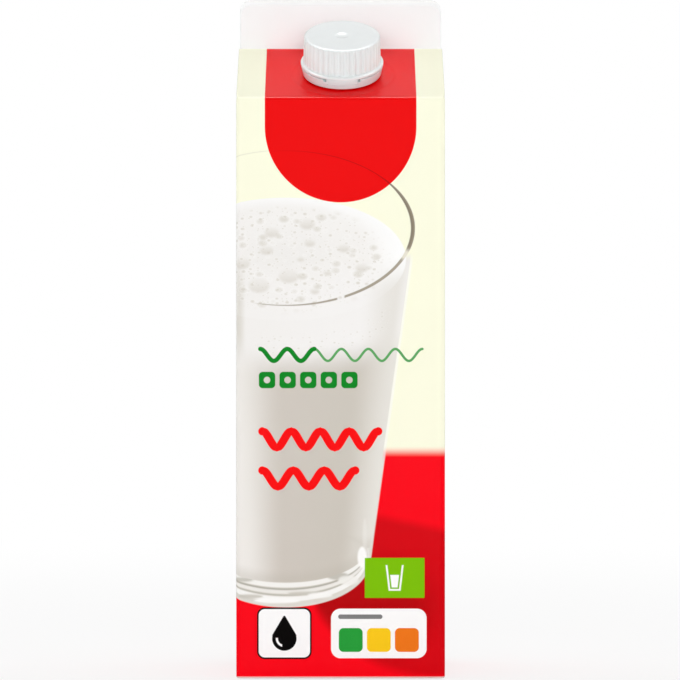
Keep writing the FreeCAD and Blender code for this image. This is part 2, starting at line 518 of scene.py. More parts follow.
@dataclass(frozen=True)
class PackSize:
    """The sizes of the folded pack in millimetres. The outside comes from the frame."""

    width: float
    depth: float
    top: float
    fin_height: float = 16.8
    roof_rise: float = 19.0
    board: float = 0.45
    corner: float = 1.6
    roof_fold: float = 1.2
    ridge_fold: float = 0.8
    base_fold: float = 0.8
    gusset_gap: float = 1.0
    fin_inset: float = 0.4
    fin_corner: float = 3.5
    fin_step: float = 1.7
    fin_edge: float = 0.15
    seam: float = 1.8
    base_rim: float = 3.2
    base_recess: float = 1.5
    base_slope: float = 1.6
    flap_reach: float = 52.0

    @classmethod
    def from_frame(cls, node: str) -> "PackSize":
        """Takes the outside from a CAD node.

        Args:
            node: The pack's node.

        Returns:
            The pack's sizes.
        """
        low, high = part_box(node)
        size = (high - low) / MM
        return cls(width=size.x, depth=size.y, top=high.z / MM)

    @property
    def half(self) -> float:
        """Half the width of the front panel."""
        return self.width / 2

    @property
    def ridge(self) -> float:
        """The height of the ridge, where the fin starts."""
        return self.top - self.fin_height

    @property
    def body(self) -> float:
        """The height of the folds between the panels and the roof."""
        return self.ridge - self.roof_rise

    @property
    def fin_half(self) -> float:
        """Half the thickness of the fin."""
        return 2 * self.board

    @property
    def angle(self) -> float:
        """The roof's slope in radians."""
        return math.atan2(self.roof_rise, self.depth / 2 - self.fin_half)

    @property
    def apex(self) -> float:
        """The height where the two side gussets reach the underside of the roof."""
        drop = 2 * self.board / math.cos(self.angle)
        return self.body + self.depth / 2 * math.tan(self.angle) - drop

    @property
    def slant(self) -> float:
        """The length of the roof from its fold to the ridge."""
        return math.hypot(self.roof_rise, self.depth / 2 - self.fin_half)

    def fin_end(self, height: float, layer_top: float) -> float:
        """How far from the middle a layer of the fin ends.

        Args:
            height: The height asked about.
            layer_top: The height of that layer's top edge.

        Returns:
            The half width there.
        """
        full = self.half - self.fin_inset
        start = layer_top - self.fin_corner
        if height <= start:
            return full
        rise = min(height - start, self.fin_corner)
        return full - self.fin_corner + math.sqrt(self.fin_corner**2 - rise**2)


def rounded_path(
    points: list[tuple[float, float]],
    radii: list[float],
    steps: int,
    spacing: float,
) -> np.ndarray:
    """Points along an open line whose corners are rounded by tangent arcs.

    Args:
        points: The corners, ends included.
        radii: The radius at each corner. The ends' are not used.
        steps: How many parts each arc has.
        spacing: The longest distance between points on the straight stretches.

    Returns:
        Rows of first coordinate, second coordinate and the distance along the unrounded line.
    """
    rows: list[tuple[float, float, float]] = []
    corner = [np.array(point, float) for point in points]
    travelled = 0.0
    last = corner[0]
    last_run = 0.0
    for place in range(1, len(corner)):
        ahead = corner[place] - corner[place - 1]
        travelled += float(np.linalg.norm(ahead))
        ahead /= np.linalg.norm(ahead)
        cut = 0.0
        if place < len(corner) - 1:
            onward = corner[place + 1] - corner[place]
            onward /= np.linalg.norm(onward)
            turn = math.acos(float(np.clip(ahead @ onward, -1, 1)))
            cut = radii[place] * math.tan(turn / 2)
        end = corner[place] - ahead * cut
        count = max(1, math.ceil(float(np.linalg.norm(end - last)) / spacing))
        for part in range(count):
            share = part / count
            spot = last + (end - last) * share
            rows.append((spot[0], spot[1], last_run + (travelled - cut - last_run) * share))
        last, last_run = end, travelled - cut
        if cut:
            side = onward - ahead * float(ahead @ onward)
            side /= np.linalg.norm(side)
            centre = end + side * radii[place]
            for part in range(steps):
                swing = turn * part / steps
                spot = centre - side * radii[place] * math.cos(swing)
                spot = spot + ahead * radii[place] * math.sin(swing)
                rows.append((spot[0], spot[1], travelled - cut + 2 * cut * part / steps))
            last, last_run = corner[place] + onward * cut, travelled + cut
    rows.append((corner[-1][0], corner[-1][1], travelled))
    return np.array(rows)


@dataclass
class Level:
    """One ring of the pack's skin. Distances are from the middle planes, in millimetres."""

    z: float
    run: float  # up the flat blank from the base
    front: float
    back: float
    front_in: float  # the underside of the front wings, or the end of the side panel's flat
    back_in: float
    front_half: float
    back_half: float
    side: float  # the side panel or the gusset
    corner: float
    folded: float  # from 0, an upright corner, to 1, the rounded end of the doubled board
    seam: bool = False
    cut: bool = False  # the faces above this ring are raw board edges


@dataclass
class PackBody:
    """The printed board: panels, gable roof, tucked-in gussets, fin and rim, as one closed skin."""

    size: PackSize
    seat: float = 18.5
    seat_offset: float = 0.5
    weld_radius: float = 17.4
    weld_width: float = 0.55
    weld_height: float = 0.12
    front_columns: int = 140
    back_columns: int = 28
    arc_columns: int = 10
    wing_columns: int = 12
    gusset_columns: int = 28
    fold_steps: int = 8
    fin_steps: int = 9
    rim_steps: int = 6
    spacing: float = 0.55
    gusset_spacing: float = 0.5
    coarse_every: int = 8
    inner_ring: float = 0.6  # the base's middle ring, as a share of the half width
    rim_ease: float = 0.12
    least_corner: float = 0.5
    bake_span: float = 296.0
    bake_margin: float = 2.0
    sharp_deg: float = 40.0
    name: str = "printed_pack"
    slot: str = "printed_board"

    def bottom_levels(self) -> list[Level]:
        """The rings from the middle of the pressed-in base out to the rim and its fold."""
        size = self.size
        lean = size.base_rim + size.base_slope
        spots = [(size.half, size.base_recess)]
        spots += [(size.half * self.inner_ring, size.base_recess), (lean, size.base_recess)]
        spots += [(size.base_rim + self.rim_ease, self.rim_ease), (size.base_rim - 0.1, 0.0)]
        fold = size.base_fold
        for part in range(self.rim_steps):
            swing = part / self.rim_steps * math.pi / 2
            spots.append((fold - fold * math.sin(swing), fold - fold * math.cos(swing)))
        levels = []
        for inset, z in spots:
            reach = size.half - inset
            corner = min(max(size.corner - inset, self.least_corner), reach)
            flat = reach - corner
            run = -inset
            levels.append(Level(z, run, reach, reach, flat, flat, reach, reach, reach, corner, 0.0))
        return levels

    def upper_levels(self) -> list[Level]:
        """The rings from the base's fold to the fin's top edge."""
        size = self.size
        half = size.depth / 2
        low, high = size.body - size.roof_fold, size.body + size.roof_fold
        fin = (size.fin_half, size.ridge), (size.fin_half, size.top)
        front = rounded_path(
            [(half, size.base_fold), (half, size.body), *fin],
            [0, size.roof_fold, size.ridge_fold, 0],
            self.fold_steps,
            self.spacing,
        )
        flank = (size.gusset_gap, size.apex), (size.gusset_gap, size.top)
        gusset = rounded_path(
            [(size.half, 0), (size.half, size.body), *flank],
            [0, size.roof_fold, 0, 0],
            self.fold_steps,
            self.gusset_spacing,
        )
        coarse = []
        for row in front:
            if row[1] > low - 1 or round(row[1] / self.spacing) % self.coarse_every == 0:
                coarse.append(row)
        front_top = size.top - size.fin_step
        fine = []
        for layer_top in (front_top, size.top):
            for part in range(self.fin_steps):
                rise = size.fin_corner * math.sin(part / self.fin_steps * math.pi / 2)
                fine.append(layer_top - size.fin_corner + rise)
        fine += [size.apex, front_top - size.fin_edge, size.top - size.fin_edge]
        heights = {round(float(row[1]), 5) for row in coarse} | {round(value, 5) for value in fine}
        heights = sorted(value for value in heights if value < size.top - 0.01)
        levels = []
        for z in heights:
            face = float(np.interp(z, front[:, 1], front[:, 0]))
            run = float(np.interp(z, front[:, 1], front[:, 2])) + size.base_fold
            folded = float(smooth_step(low + 0.3, high + 0.5, z))
            corner_flat = half - size.corner
            inner = min(corner_flat, max(0.0, (size.apex - z) / math.tan(size.angle)))
            side = float(np.interp(z, gusset[:, 1], gusset[:, 0]))
            seam = z < low - 0.5
            narrow = float(smooth_step(size.ridge - 0.5, size.ridge + 0.7, z))
            ends = []
            for layer_top in (front_top, size.top):
                ends.append(size.half + (size.fin_end(z, layer_top) - size.half) * narrow)
            face_front = face
            if z > front_top:
                ends[0] = size.fin_end(front_top, front_top)
                face_front = 0.0
            faces = (face_front, face, inner, inner)
            level = Level(z, run, *faces, *ends, side, size.corner, folded, seam)
            levels.append(level)
            if abs(z - (front_top - size.fin_edge)) < 1e-6:
                levels += self.ledge(level, front_top)
        last = levels[-1]
        edge = size.fin_edge
        last.cut = True
        end = size.fin_end(size.top, size.top)
        faces = (0.0, last.back - edge, 0, 0)
        closing = Level(size.top, last.run + edge, *faces, end, end, 0.0, size.corner, 1.0, cut=True)
        middle = size.fin_half / 2
        faces = (-middle, middle, -middle, middle)
        shut = Level(size.top, closing.run + middle, *faces, end, end, 0.0, 0.0, 1.0)
        levels += [closing, shut]
        return levels

    def ledge(self, level: Level, height: float) -> list[Level]:
        """The rings of the step where the front layers of the fin stop.

        Args:
            level: The ring below the rounded edge of the step.
            height: The height of the step.

        Returns:
            The rings of the edge and of the step.
        """
        size = self.size
        ends = (size.fin_end(height, height), size.fin_end(height, size.top))
        rest = (level.back, 0, 0, *ends, 0.0, 0.0, 1.0)
        run = level.run + size.fin_edge
        edge = Level(height, run, level.front - size.fin_edge, *rest, cut=True)
        inner = Level(height, run + size.fin_half, 0.0, *rest)
        return [edge, inner]

    def arc(self, level: Level, face: float, inner: float, half: float) -> np.ndarray:
        """The points round one upright fold, or round the end of the doubled board above it.

        Args:
            level: The ring.
            face: How far out the panel lies.
            inner: Where the side begins.
            half: Half the panel's width.

        Returns:
            Rows of x, y and the distance on the blank from the fold.
        """
        share = np.linspace(0, 1, self.arc_columns)
        radius = level.corner
        round_x = half - radius + radius * np.sin(share * math.pi / 2)
        round_y = face - radius + radius * np.cos(share * math.pi / 2)
        thick = max(0.0, min(self.size.board, face - inner))
        end_x = half - thick + thick * np.sin(share * math.pi)
        end_y = (face + inner) / 2 + (face - inner) / 2 * np.cos(share * math.pi)
        blend = level.folded
        reach = radius + (thick - radius) * blend
        across = (share * 2 - 1) * reach
        x = round_x + (end_x - round_x) * blend
        y = round_y + (end_y - round_y) * blend
        return np.stack([x, y, across], 1)

    def ring(self, level: Level) -> tuple[np.ndarray, np.ndarray]:
        """One ring of points, from the glued seam round by the left, the front and the right.

        Args:
            level: The ring.

        Returns:
            Rows of x and y, and each point's u on the blank.
        """
        size = self.size
        half = size.half
        front = self.arc(level, level.front, level.front_in, level.front_half)
        back = self.arc(level, level.back, level.back_in, level.back_half)
        share = np.linspace(0, 1, self.wing_columns)
        stretch = half / (half - size.gusset_gap)
        gusset_u = max(half + front[-1, 2], half + (half - level.side) * stretch)
        wings = []
        for arc, inner in ((front, level.front_in), (back, level.back_in)):
            x = arc[-1, 0] + (level.side - arc[-1, 0]) * share
            u = half + arc[-1, 2] + (gusset_u - half - arc[-1, 2]) * share
            wings.append(np.stack([x, np.full_like(x, inner), u], 1))
        wing_front, wing_back = wings
        middle = np.linspace(0, 1, self.gusset_columns)[1:-1]
        y = -level.front_in + (level.back_in + level.front_in) * middle
        gusset_run = gusset_u + (4 * half - 2 * gusset_u) * middle
        gusset = np.stack([np.full_like(y, level.side), y, gusset_run], 1)

        front_row = np.linspace(-1, 1, self.front_columns + 1)[1:-1] * front[0, 0]
        back_row = np.linspace(-1, 1, self.back_columns + 1)[1:-1] * back[0, 0]
        seam_x, seam_y = -(half - size.board), size.depth / 2 - size.seam
        left_back = wing_back * [-1, 1, -1]
        left_back[:, 2] = -(4 * half - wing_back[:, 2])
        left_gusset = gusset[::-1] * [-1, 1, -1]
        if level.seam:
            left_back[0, 0] = seam_x
            left_back[:, 1] = seam_y
            pull = seam_y / (size.depth / 2 - size.corner)
            left_gusset[:, 1] = np.where(left_gusset[:, 1] > 0, left_gusset[:, 1] * pull, left_gusset[:, 1])
        arc_left, arc_back, right_back = front[::-1], back[::-1], wing_back[::-1][:-1]
        parts = [
            left_back,
            left_gusset,
            (wing_front[::-1] * [-1, -1, -1])[:-1],
            np.stack([-arc_left[:, 0], -arc_left[:, 1], -(half + arc_left[:, 2])], 1),
            np.stack([front_row, np.full_like(front_row, -level.front), front_row], 1),
            np.stack([front[:, 0], -front[:, 1], half + front[:, 2]], 1),
            wing_front[1:] * [1, -1, 1],
            gusset,
            np.stack([right_back[:, 0], right_back[:, 1], 4 * half - right_back[:, 2]], 1),
            np.stack([arc_back[:, 0], arc_back[:, 1], 3 * half - arc_back[:, 2]], 1),
            np.stack([back_row[::-1], np.full_like(back_row, level.back), 4 * half - back_row[::-1]], 1),
            np.stack([-back[:, 0], back[:, 1], 5 * half + back[:, 2]], 1),
        ]
        if level.seam:
            strip = parts[-1]
            strip[:, 0] = np.maximum(strip[:, 0], seam_x)
            strip[-1, 0] = seam_x
            strip[-1, 1] = seam_y
        self.groups = np.cumsum([0] + [len(part) for part in parts])
        whole = np.concatenate(parts)
        return whole[:, :2], whole[:, 2]

    def build(self) -> bpy.types.Mesh:
        """Makes the skin, with its blank and bake maps and its mark for raw board edges.

        Returns:
            The finished mesh.
        """
        size = self.size
        levels = self.bottom_levels() + self.upper_levels()
        rings = [self.ring(level) for level in levels]
        columns = len(rings[0][1])
        points = np.zeros((len(levels), columns, 3))
        flat = np.zeros((len(levels), columns, 2))
        for row, (level, (spots, u)) in enumerate(zip(levels, rings)):
            points[row, :, :2] = spots
            points[row, :, 2] = level.z
            flat[row, :, 0] = u
            flat[row, :, 1] = level.run
        self.emboss_weld(points, flat)
        group = self.groups
        skip = {*range(group[0], group[3]), *range(group[6] - 1, group[9])}
        faces: list[tuple[int, ...]] = []
        raw: list[bool] = []
        for row in range(len(levels) - 1):
            base = row * columns
            closed = levels[row].z >= size.apex - 1e-6
            cut = levels[row].cut
            for column in range(columns - 1):
                if closed and column in skip:
                    continue
                start = base + column
                faces.append((start, start + 1, start + 1 + columns, start + columns))
                raw.append(cut or (levels[row].seam and column == 0))
            if closed:
                for near, far in ((0, group[3]), (group[6] - 1, group[9])):
                    a, b = base + near, base + far
                    faces.append((a, b, b + columns, a + columns))
                    raw.append(cut)
        mesh = new_mesh(self.name, points.reshape(-1, 3), faces)
        corners = np.zeros(len(mesh.loops), int)
        mesh.loops.foreach_get("vertex_index", corners)
        sheet = flat.reshape(-1, 2)[corners]
        blank = mesh.uv_layers.new(name="blank")
        blank.data.foreach_set("uv", sheet.ravel())
        bake = mesh.uv_layers.new(name="OFBake")
        shift = np.array([3 * size.half + self.bake_margin, size.half + self.bake_margin])
        bake.data.foreach_set("uv", ((sheet + shift) / self.bake_span).ravel())
        mark = mesh.attributes.new("raw_edge", "FLOAT", "FACE")
        mark.data.foreach_set("value", np.array(raw, float))
        finish_mesh(mesh, self.sharp_deg, recalculate=False)
        return mesh

    def emboss_weld(self, points: np.ndarray, flat: np.ndarray) -> None:
        """Raises the faint ring in the roof where the spout's flange is welded beneath the board.

        Args:
            points: The skin's points, changed in place.
            flat: Each point's place on the blank.
        """
        size = self.size
        along = flat[:, :, 1] - size.body
        across = flat[:, :, 0]
        reach = np.hypot(across - self.seat_offset, along - self.seat)
        on_roof = (np.abs(across) < size.half - 1) & (along > 0.8) & (along < size.slant - 0.8)
        rise = self.weld_height * np.exp(-(((reach - self.weld_radius) / self.weld_width) ** 2)) * on_roof
        points[:, :, 1] -= rise * math.sin(size.angle)
        points[:, :, 2] += rise * math.cos(size.angle)


@dataclass
class BaseFlap:
    """The outer flap that closes the pressed-in base."""

    size: PackSize
    thickness: float = 0.42
    corner: float = 2.0
    crease_half: float = 0.7
    crease_rise: float = 0.22
    crease_inset: float = 2.0
    seal_count: int = 4
    seal_pitch: float = 2.6
    tuck: float = 8.0
    play: float = 0.2
    near_inset: float = 1.5
    edge: float = 0.1
    sink: float = 0.02
    steps: int = 6
    name: str = "base_flap"
    slot: str = "printed_board"

    def build(self) -> bpy.types.Mesh:
        """Makes the flap as a thin slab with softened edges.

        Returns:
            The finished mesh.
        """
        size = self.size
        half = size.half - size.base_rim - size.base_slope + self.play
        near = -(size.depth / 2 - size.base_rim) + self.near_inset
        far = -(size.depth / 2 - size.base_rim) + size.flap_reach
        low = size.base_recess - self.thickness
        rows = ((self.edge, low), (0.0, low + self.edge), (0.0, size.base_recess - self.sink))
        points: list[tuple[float, float, float]] = []
        for inset, z in rows:
            for centre_x, centre_y, start in (
                (half - self.corner, near + self.corner, -90),
                (half - self.corner, far - self.corner, 0),
                (self.corner - half, far - self.corner, 90),
                (self.corner - half, near + self.corner, 180),
            ):
                for part in range(self.steps + 1):
                    swing = math.radians(start + 90 / self.steps * part)
                    reach = self.corner - inset
                    x = centre_x + reach * math.cos(swing)
                    y = centre_y + reach * math.sin(swing)
                    points.append((x, y, z))
        count = len(points) // len(rows)
        faces: list[tuple[int, ...]] = [tuple(range(count))[::-1]]
        faces += ring_faces(0, len(rows), count)
        faces.append(tuple(range((len(rows) - 1) * count, len(rows) * count)))
        mesh = new_mesh(self.name, np.array(points), faces)
        finish_mesh(mesh, 30)
        return mesh

    def build_creases(self) -> bpy.types.Mesh:
        """Makes the low ridges that the tucked flaps and the sealing jaw press through the flap.

        Returns:
            The finished mesh.
        """
        size = self.size
        side = size.half - size.base_rim - size.base_slope - self.crease_inset
        near = -side
        far = -(size.depth / 2 - size.base_rim) + size.flap_reach - self.crease_inset
        tucked = self.tuck + near
        lines = [((-side, near), (-self.tuck, tucked)), ((side, near), (self.tuck, tucked))]
        for place in range(self.seal_count):
            y = far - place * self.seal_pitch
            lines.append(((-side, y), (side, y)))
        points: list[tuple[float, float, float]] = []
        faces: list[tuple[int, ...]] = []
        level = size.base_recess - self.thickness + self.sink
        count = self.steps + 1
        for start, end in lines:
            along = np.array(end) - np.array(start)
            across = np.array([-along[1], along[0]]) / np.linalg.norm(along)
            first = len(points)
            for spot in (start, end):
                for part in range(count):
                    swing = math.pi * part / self.steps
                    x, y = np.array(spot) + across * math.cos(swing) * self.crease_half
                    points.append((x, y, level - math.sin(swing) * self.crease_rise))
            faces += ring_faces(first, 2, count)
            faces.append(tuple(range(first, first + count)))
            faces.append(tuple(range(first + count, first + 2 * count)))
        mesh = new_mesh("base_creases", np.array(points), faces)
        finish_mesh(mesh, 50)
        return mesh


# ---------------------------------------------------------------------------------------------
# The closure


def polar_array(name: str) -> bpy.types.NodeTree:
    """Builds the node tree that repeats a shape round the Z axis and joins the copies.

    Args:
        name: The tree's name.

    Returns:
        The tree, whose inputs are Shape, Count, Start, Pitch, Weld and Finish.
    """
    tree = bpy.data.node_groups.new(name, "GeometryNodeTree")
    face = tree.interface
    face.new_socket("Shape", in_out="INPUT", socket_type="NodeSocketGeometry")
    for label, kind in (
        ("Count", "NodeSocketInt"),
        ("Start", "NodeSocketFloat"),
        ("Pitch", "NodeSocketFloat"),
        ("Weld", "NodeSocketFloat"),
        ("Finish", "NodeSocketMaterial"),
    ):
        face.new_socket(label, in_out="INPUT", socket_type=kind)
    face.new_socket("Shape", in_out="OUTPUT", socket_type="NodeSocketGeometry")
    source = add_node(tree, "NodeGroupInput").outputs
    spots = add_node(tree, "GeometryNodePoints", {"Count": source["Count"]})
    index = add_node(tree, "GeometryNodeInputIndex")
    angle = {0: index.outputs[0], 1: source["Pitch"], 2: source["Start"]}
    turn = add_node(tree, "ShaderNodeMath", angle, operation="MULTIPLY_ADD")
    axes = add_node(tree, "ShaderNodeCombineXYZ", {"Z": turn.outputs[0]})
    rotation = add_node(tree, "FunctionNodeEulerToRotation", {0: axes.outputs[0]})
    placed = {"Points": spots.outputs[0], "Instance": source["Shape"], "Rotation": rotation.outputs[0]}
    copies = add_node(tree, "GeometryNodeInstanceOnPoints", placed)
    real = add_node(tree, "GeometryNodeRealizeInstances", {0: copies.outputs[0]})
    joined = {"Geometry": real.outputs[0], "Distance": source["Weld"]}
    weld = add_node(tree, "GeometryNodeMergeByDistance", joined)
    dressed = {"Geometry": weld.outputs[0], "Material": source["Finish"]}
    dress = add_node(tree, "GeometryNodeSetMaterial", dressed)
    add_node(tree, "NodeGroupOutput", {0: dress.outputs[0]})
    return tree


def repeat_round(
    shape: bpy.types.Mesh,
    tree: bpy.types.NodeTree,
    count: int,
    start: float,
    pitch: float,
    finish: bpy.types.Material,
) -> bpy.types.Mesh:
    """Repeats a mesh round the Z axis through the node tree and returns a plain mesh.

    Args:
        shape: The mesh to repeat.
        tree: The tree that polar_array made.
        count: How many copies there are.
        start: The first copy's angle in degrees.
        pitch: The angle between copies in degrees.
        finish: The copies' material.

    Returns:
        The repeated mesh.
    """
    holder = bpy.data.objects.new(shape.name, shape)
    bpy.context.collection.objects.link(holder)
    modifier = holder.modifiers.new("Repeat", "NODES")
    modifier.node_group = tree
    values = {
        "Count": count,
        "Start": math.radians(start),
        "Pitch": math.radians(pitch),
        "Weld": 2 * MERGE_WITHIN,
        "Finish": finish,
    }
    for item in tree.interface.items_tree:
        if item.in_out == "INPUT" and item.name in values:
            modifier[item.identifier] = values[item.name]
    holder.update_tag()
    graph = bpy.context.evaluated_depsgraph_get()
    mesh = bpy.data.meshes.new_from_object(holder.evaluated_get(graph))
    holder.modifiers.remove(modifier)
    name = shape.name
    bpy.data.objects.remove(holder)
    bpy.data.meshes.remove(shape)
    mesh.name = name
    return mesh


@dataclass
class Closure:
    """The ribbed screw cap and its tamper band, on an axis square to the front roof panel."""

    size: PackSize
    seat: float = 18.5
    offset: float = 0.5
    bore: float = 11.8
    gap: float = 0.45
    height: float = 14.0
    skirt_depth: float = 5.2
    wall: float = 1.1
    draft: float = 0.2
    edge: float = 1.0
    rib_count: int = 40
    rib_depth: float = 0.32
    rib_groove: float = 0.8
    dimple: float = 2.3
    dimple_depth: float = 0.45
    lip_proud: float = 0.9
    lip_height: float = 1.1
    lip_bevel: float = 0.35
    band_height: float = 3.2
    band_step: float = 0.15
    band_taper: float = 0.65
    band_edge: float = 0.3
    slit: float = 0.4
    bridge_count: int = 9
    bridge_width: float = 0.8
    tether: float = 10.8
    notch: float = 1.3
    notch_height: float = 1.2
    groove_level: float = 1.5
    groove_height: float = 0.3
    groove_depth: float = 0.3
    groove_ease: float = 0.03
    front: float = -90.0  # the angle of the tether's middle, in degrees
    sector_parts: int = 16
    edge_parts: int = 12
    wall_parts: int = 10
    dimple_rings: tuple[float, ...] = (0.0, 0.5, 1.0, 1.5, 1.9, 2.15)
    top_rings: tuple[float, ...] = (4.5, 7.0, 9.5, 11.2)
    lip_curve: tuple[tuple[float, float], ...] = ((0.2, 0.08), (0.05, -0.02), (0.0, -0.14))
    band_rings: tuple[float, ...] = (2.6, 2.85, 3.25)
    band_pitch: float = 2.5  # the widest angle between the band's columns, in degrees
    band_bevel: float = 0.08
    bridge_sink: float = 0.06
    bridge_edge: float = 0.15
    bridge_waist: float = 0.75
    slot: str = "cap_plastic"

    @property
    def top_radius(self) -> float:
        """The wall's radius at the top."""
        return self.bore + self.wall

    @property
    def foot_radius(self) -> float:
        """The wall's radius at its foot."""
        return self.top_radius + self.draft

    @property
    def band_top(self) -> float:
        """The height of the tamper band's top edge."""
        return self.gap + self.band_height

    @property
    def lip_foot(self) -> float:
        """The height of the lip's underside."""
        return self.band_top + self.slit

    @property
    def top(self) -> float:
        """The height of the cap's top."""
        return self.gap + self.height

    @property
    def band_radius(self) -> float:
        """The tamper band's radius at its top."""
        return self.foot_radius + self.lip_proud - self.band_step

    def band_angle(self, width: float) -> float:
        """The angle in degrees that a width takes up round the top of the band."""
        return math.degrees(width / self.band_radius)

    def seat_matrix(self) -> Matrix:
        """Where the closure's own frame lies on the front roof panel."""
        size = self.size
        y = -size.depth / 2 + self.seat * math.cos(size.angle)
        z = size.body + self.seat * math.sin(size.angle)
        place = Vector((self.offset, y, z)) * MM
        return Matrix.Translation(place) @ Matrix.Rotation(size.angle, 4, "X")

    def cap_sector(self) -> bpy.types.Mesh:
        """One rib's share of the cap, from the middle of its top round to the bore."""
        pitch = 2 * math.pi / self.rib_count
        angles = np.linspace(-pitch / 2, pitch / 2, self.sector_parts + 1)
        lip_top = self.lip_foot + self.lip_height
        top = self.top
        ball = (self.dimple**2 + self.dimple_depth**2) / (2 * self.dimple_depth)
        rows: list[tuple[float, float, bool]] = []
        for radius in self.dimple_rings:
            rows.append((radius, top - self.dimple_depth + ball - math.sqrt(ball**2 - radius**2), False))
        rows += [(self.dimple + 0.05, top - 0.012, False), (self.dimple + 0.3, top, False)]
        rows += [(radius, top, False) for radius in self.top_rings]
        for part in range(self.edge_parts + 1):
            swing = math.pi / 2 * (1 - part / self.edge_parts)
            radius = self.top_radius - self.edge + self.edge * math.cos(swing)
            rows.append((radius, top - self.edge + self.edge * math.sin(swing), True))
        for part in range(1, self.wall_parts + 1):
            share = part / self.wall_parts
            z = top - self.edge + (lip_top - top + self.edge) * share
            rows.append((self.top_radius + self.draft * share, z, True))
        lip = self.foot_radius + self.lip_proud
        bevel = lip_top - self.lip_bevel
        rows.append((self.foot_radius + 0.02, lip_top, False))
        rows += [(lip - inset, bevel + rise, False) for inset, rise in self.lip_curve]
        rows += [
            (lip, self.lip_foot + 0.12, False),
            (lip - 0.1, self.lip_foot, False),
            (self.bore, self.lip_foot, False),
            (self.bore, self.gap + self.skirt_depth, False),
            (0.0, self.gap + self.skirt_depth, False),
        ]
        offset = pitch / 2 - np.abs(angles)
        arc = offset * self.top_radius
        reach = self.rib_groove - self.rib_depth
        chord = math.sqrt(self.rib_groove**2 - reach**2)
        depth = np.where(arc < chord, np.sqrt(np.maximum(self.rib_groove**2 - arc**2, 0)) - reach, 0)
        points = []
        for radius, z, ribbed in rows:
            radii = np.full_like(angles, radius)
            if ribbed:
                share = min(1.0, max(0.0, (top - self.edge - z) / (top - self.edge - lip_top)))
                wall = self.top_radius + self.draft * share
                radii = np.minimum(radii, wall - depth)
            for swing, reach_here in zip(angles, radii):
                points.append((reach_here * math.cos(swing), reach_here * math.sin(swing), z))
        columns = len(angles)
        faces = []
        for row in range(len(rows) - 1):
            for column in range(columns - 1):
                start = row * columns + column
                faces.append((start, start + columns, start + columns + 1, start + 1))
        mesh = new_mesh("screw_cap_shell", np.array(points), faces)
        finish_mesh(mesh, 35, recalculate=False)
        return mesh

    def build_cap(self, tree: bpy.types.NodeTree, finish: bpy.types.Material) -> bpy.types.Mesh:
        """Repeats the sector into the whole cap and seats it.

        Args:
            tree: The tree that repeats a shape round an axis.
            finish: The cap's material.

        Returns:
            The finished mesh.
        """
        pitch = 360 / self.rib_count
        mesh = repeat_round(self.cap_sector(), tree, self.rib_count, 0, pitch, finish)
        mesh.transform(self.seat_matrix())
        finish_mesh(mesh, 35)
        return mesh

    def band_columns(self) -> list[tuple[float, float, bool]]:
        """The tamper band's columns: angle, top height and whether the tether's groove crosses."""
        tether = self.band_angle(self.tether)
        notch = self.band_angle(self.notch)
        low = self.lip_foot - self.notch_height
        spans = [
            (-tether / 2, tether / 2, self.lip_foot, True),
            (tether / 2, tether / 2 + notch, low, False),
            (tether / 2 + notch, 360 - tether / 2 - notch, self.band_top, False),
            (360 - tether / 2 - notch, 360 - tether / 2, low, False),
        ]
        columns = []
        for start, end, height, grooved in spans:
            count = max(2, math.ceil((end - start) / self.band_pitch))
            for part in range(count + 1):
                columns.append((self.front + start + (end - start) * part / count, height, grooved))
        return columns

    def build_band(self) -> bpy.types.Mesh:
        """Makes the tamper band with its tether, notches and groove, and seats it.

        Returns:
            The finished mesh.
        """
        foot = self.band_radius - self.band_taper
        low = self.gap + self.groove_level
        high = low + self.groove_height
        edge = self.band_edge
        outline: list[tuple[float, float]] = []
        for part in range(5):
            swing = math.pi / 2 * part / 4
            outline.append((-edge + edge * math.sin(swing), self.gap + edge - edge * math.cos(swing)))
        ease = self.groove_ease
        groove = (low - self.groove_height, low, low + ease, high - ease, high)
        outline += [(0.0, z) for z in (*groove, *self.band_rings, self.band_top, self.lip_foot)]
        points = []
        columns = self.band_columns()
        for angle, top, grooved in columns:
            swing = math.radians(angle)
            section = [(self.bore, self.gap)]
            for shift, z in outline:
                level = min(z, top - self.band_bevel)
                share = min(1.0, (level - self.gap) / self.band_height)
                radius = foot + self.band_taper * share + shift
                if grooved and low + 0.01 < level < high - 0.01:
                    radius -= self.groove_depth
                section.append((radius, level))
            section += [(section[-1][0] - self.band_bevel, top), (self.bore, top)]
            for radius, z in section:
                points.append((radius * math.cos(swing), radius * math.sin(swing), z))
        rows = len(points) // len(columns)
        faces = []
        for column in range(len(columns)):
            here, onward = column * rows, (column + 1) % len(columns) * rows
            for row in range(rows):
                above = (row + 1) % rows
                faces.append((here + row, onward + row, onward + above, here + above))
        mesh = new_mesh("tamper_band", np.array(points), faces)
        mesh.transform(self.seat_matrix())
        finish_mesh(mesh, 30)
        return mesh

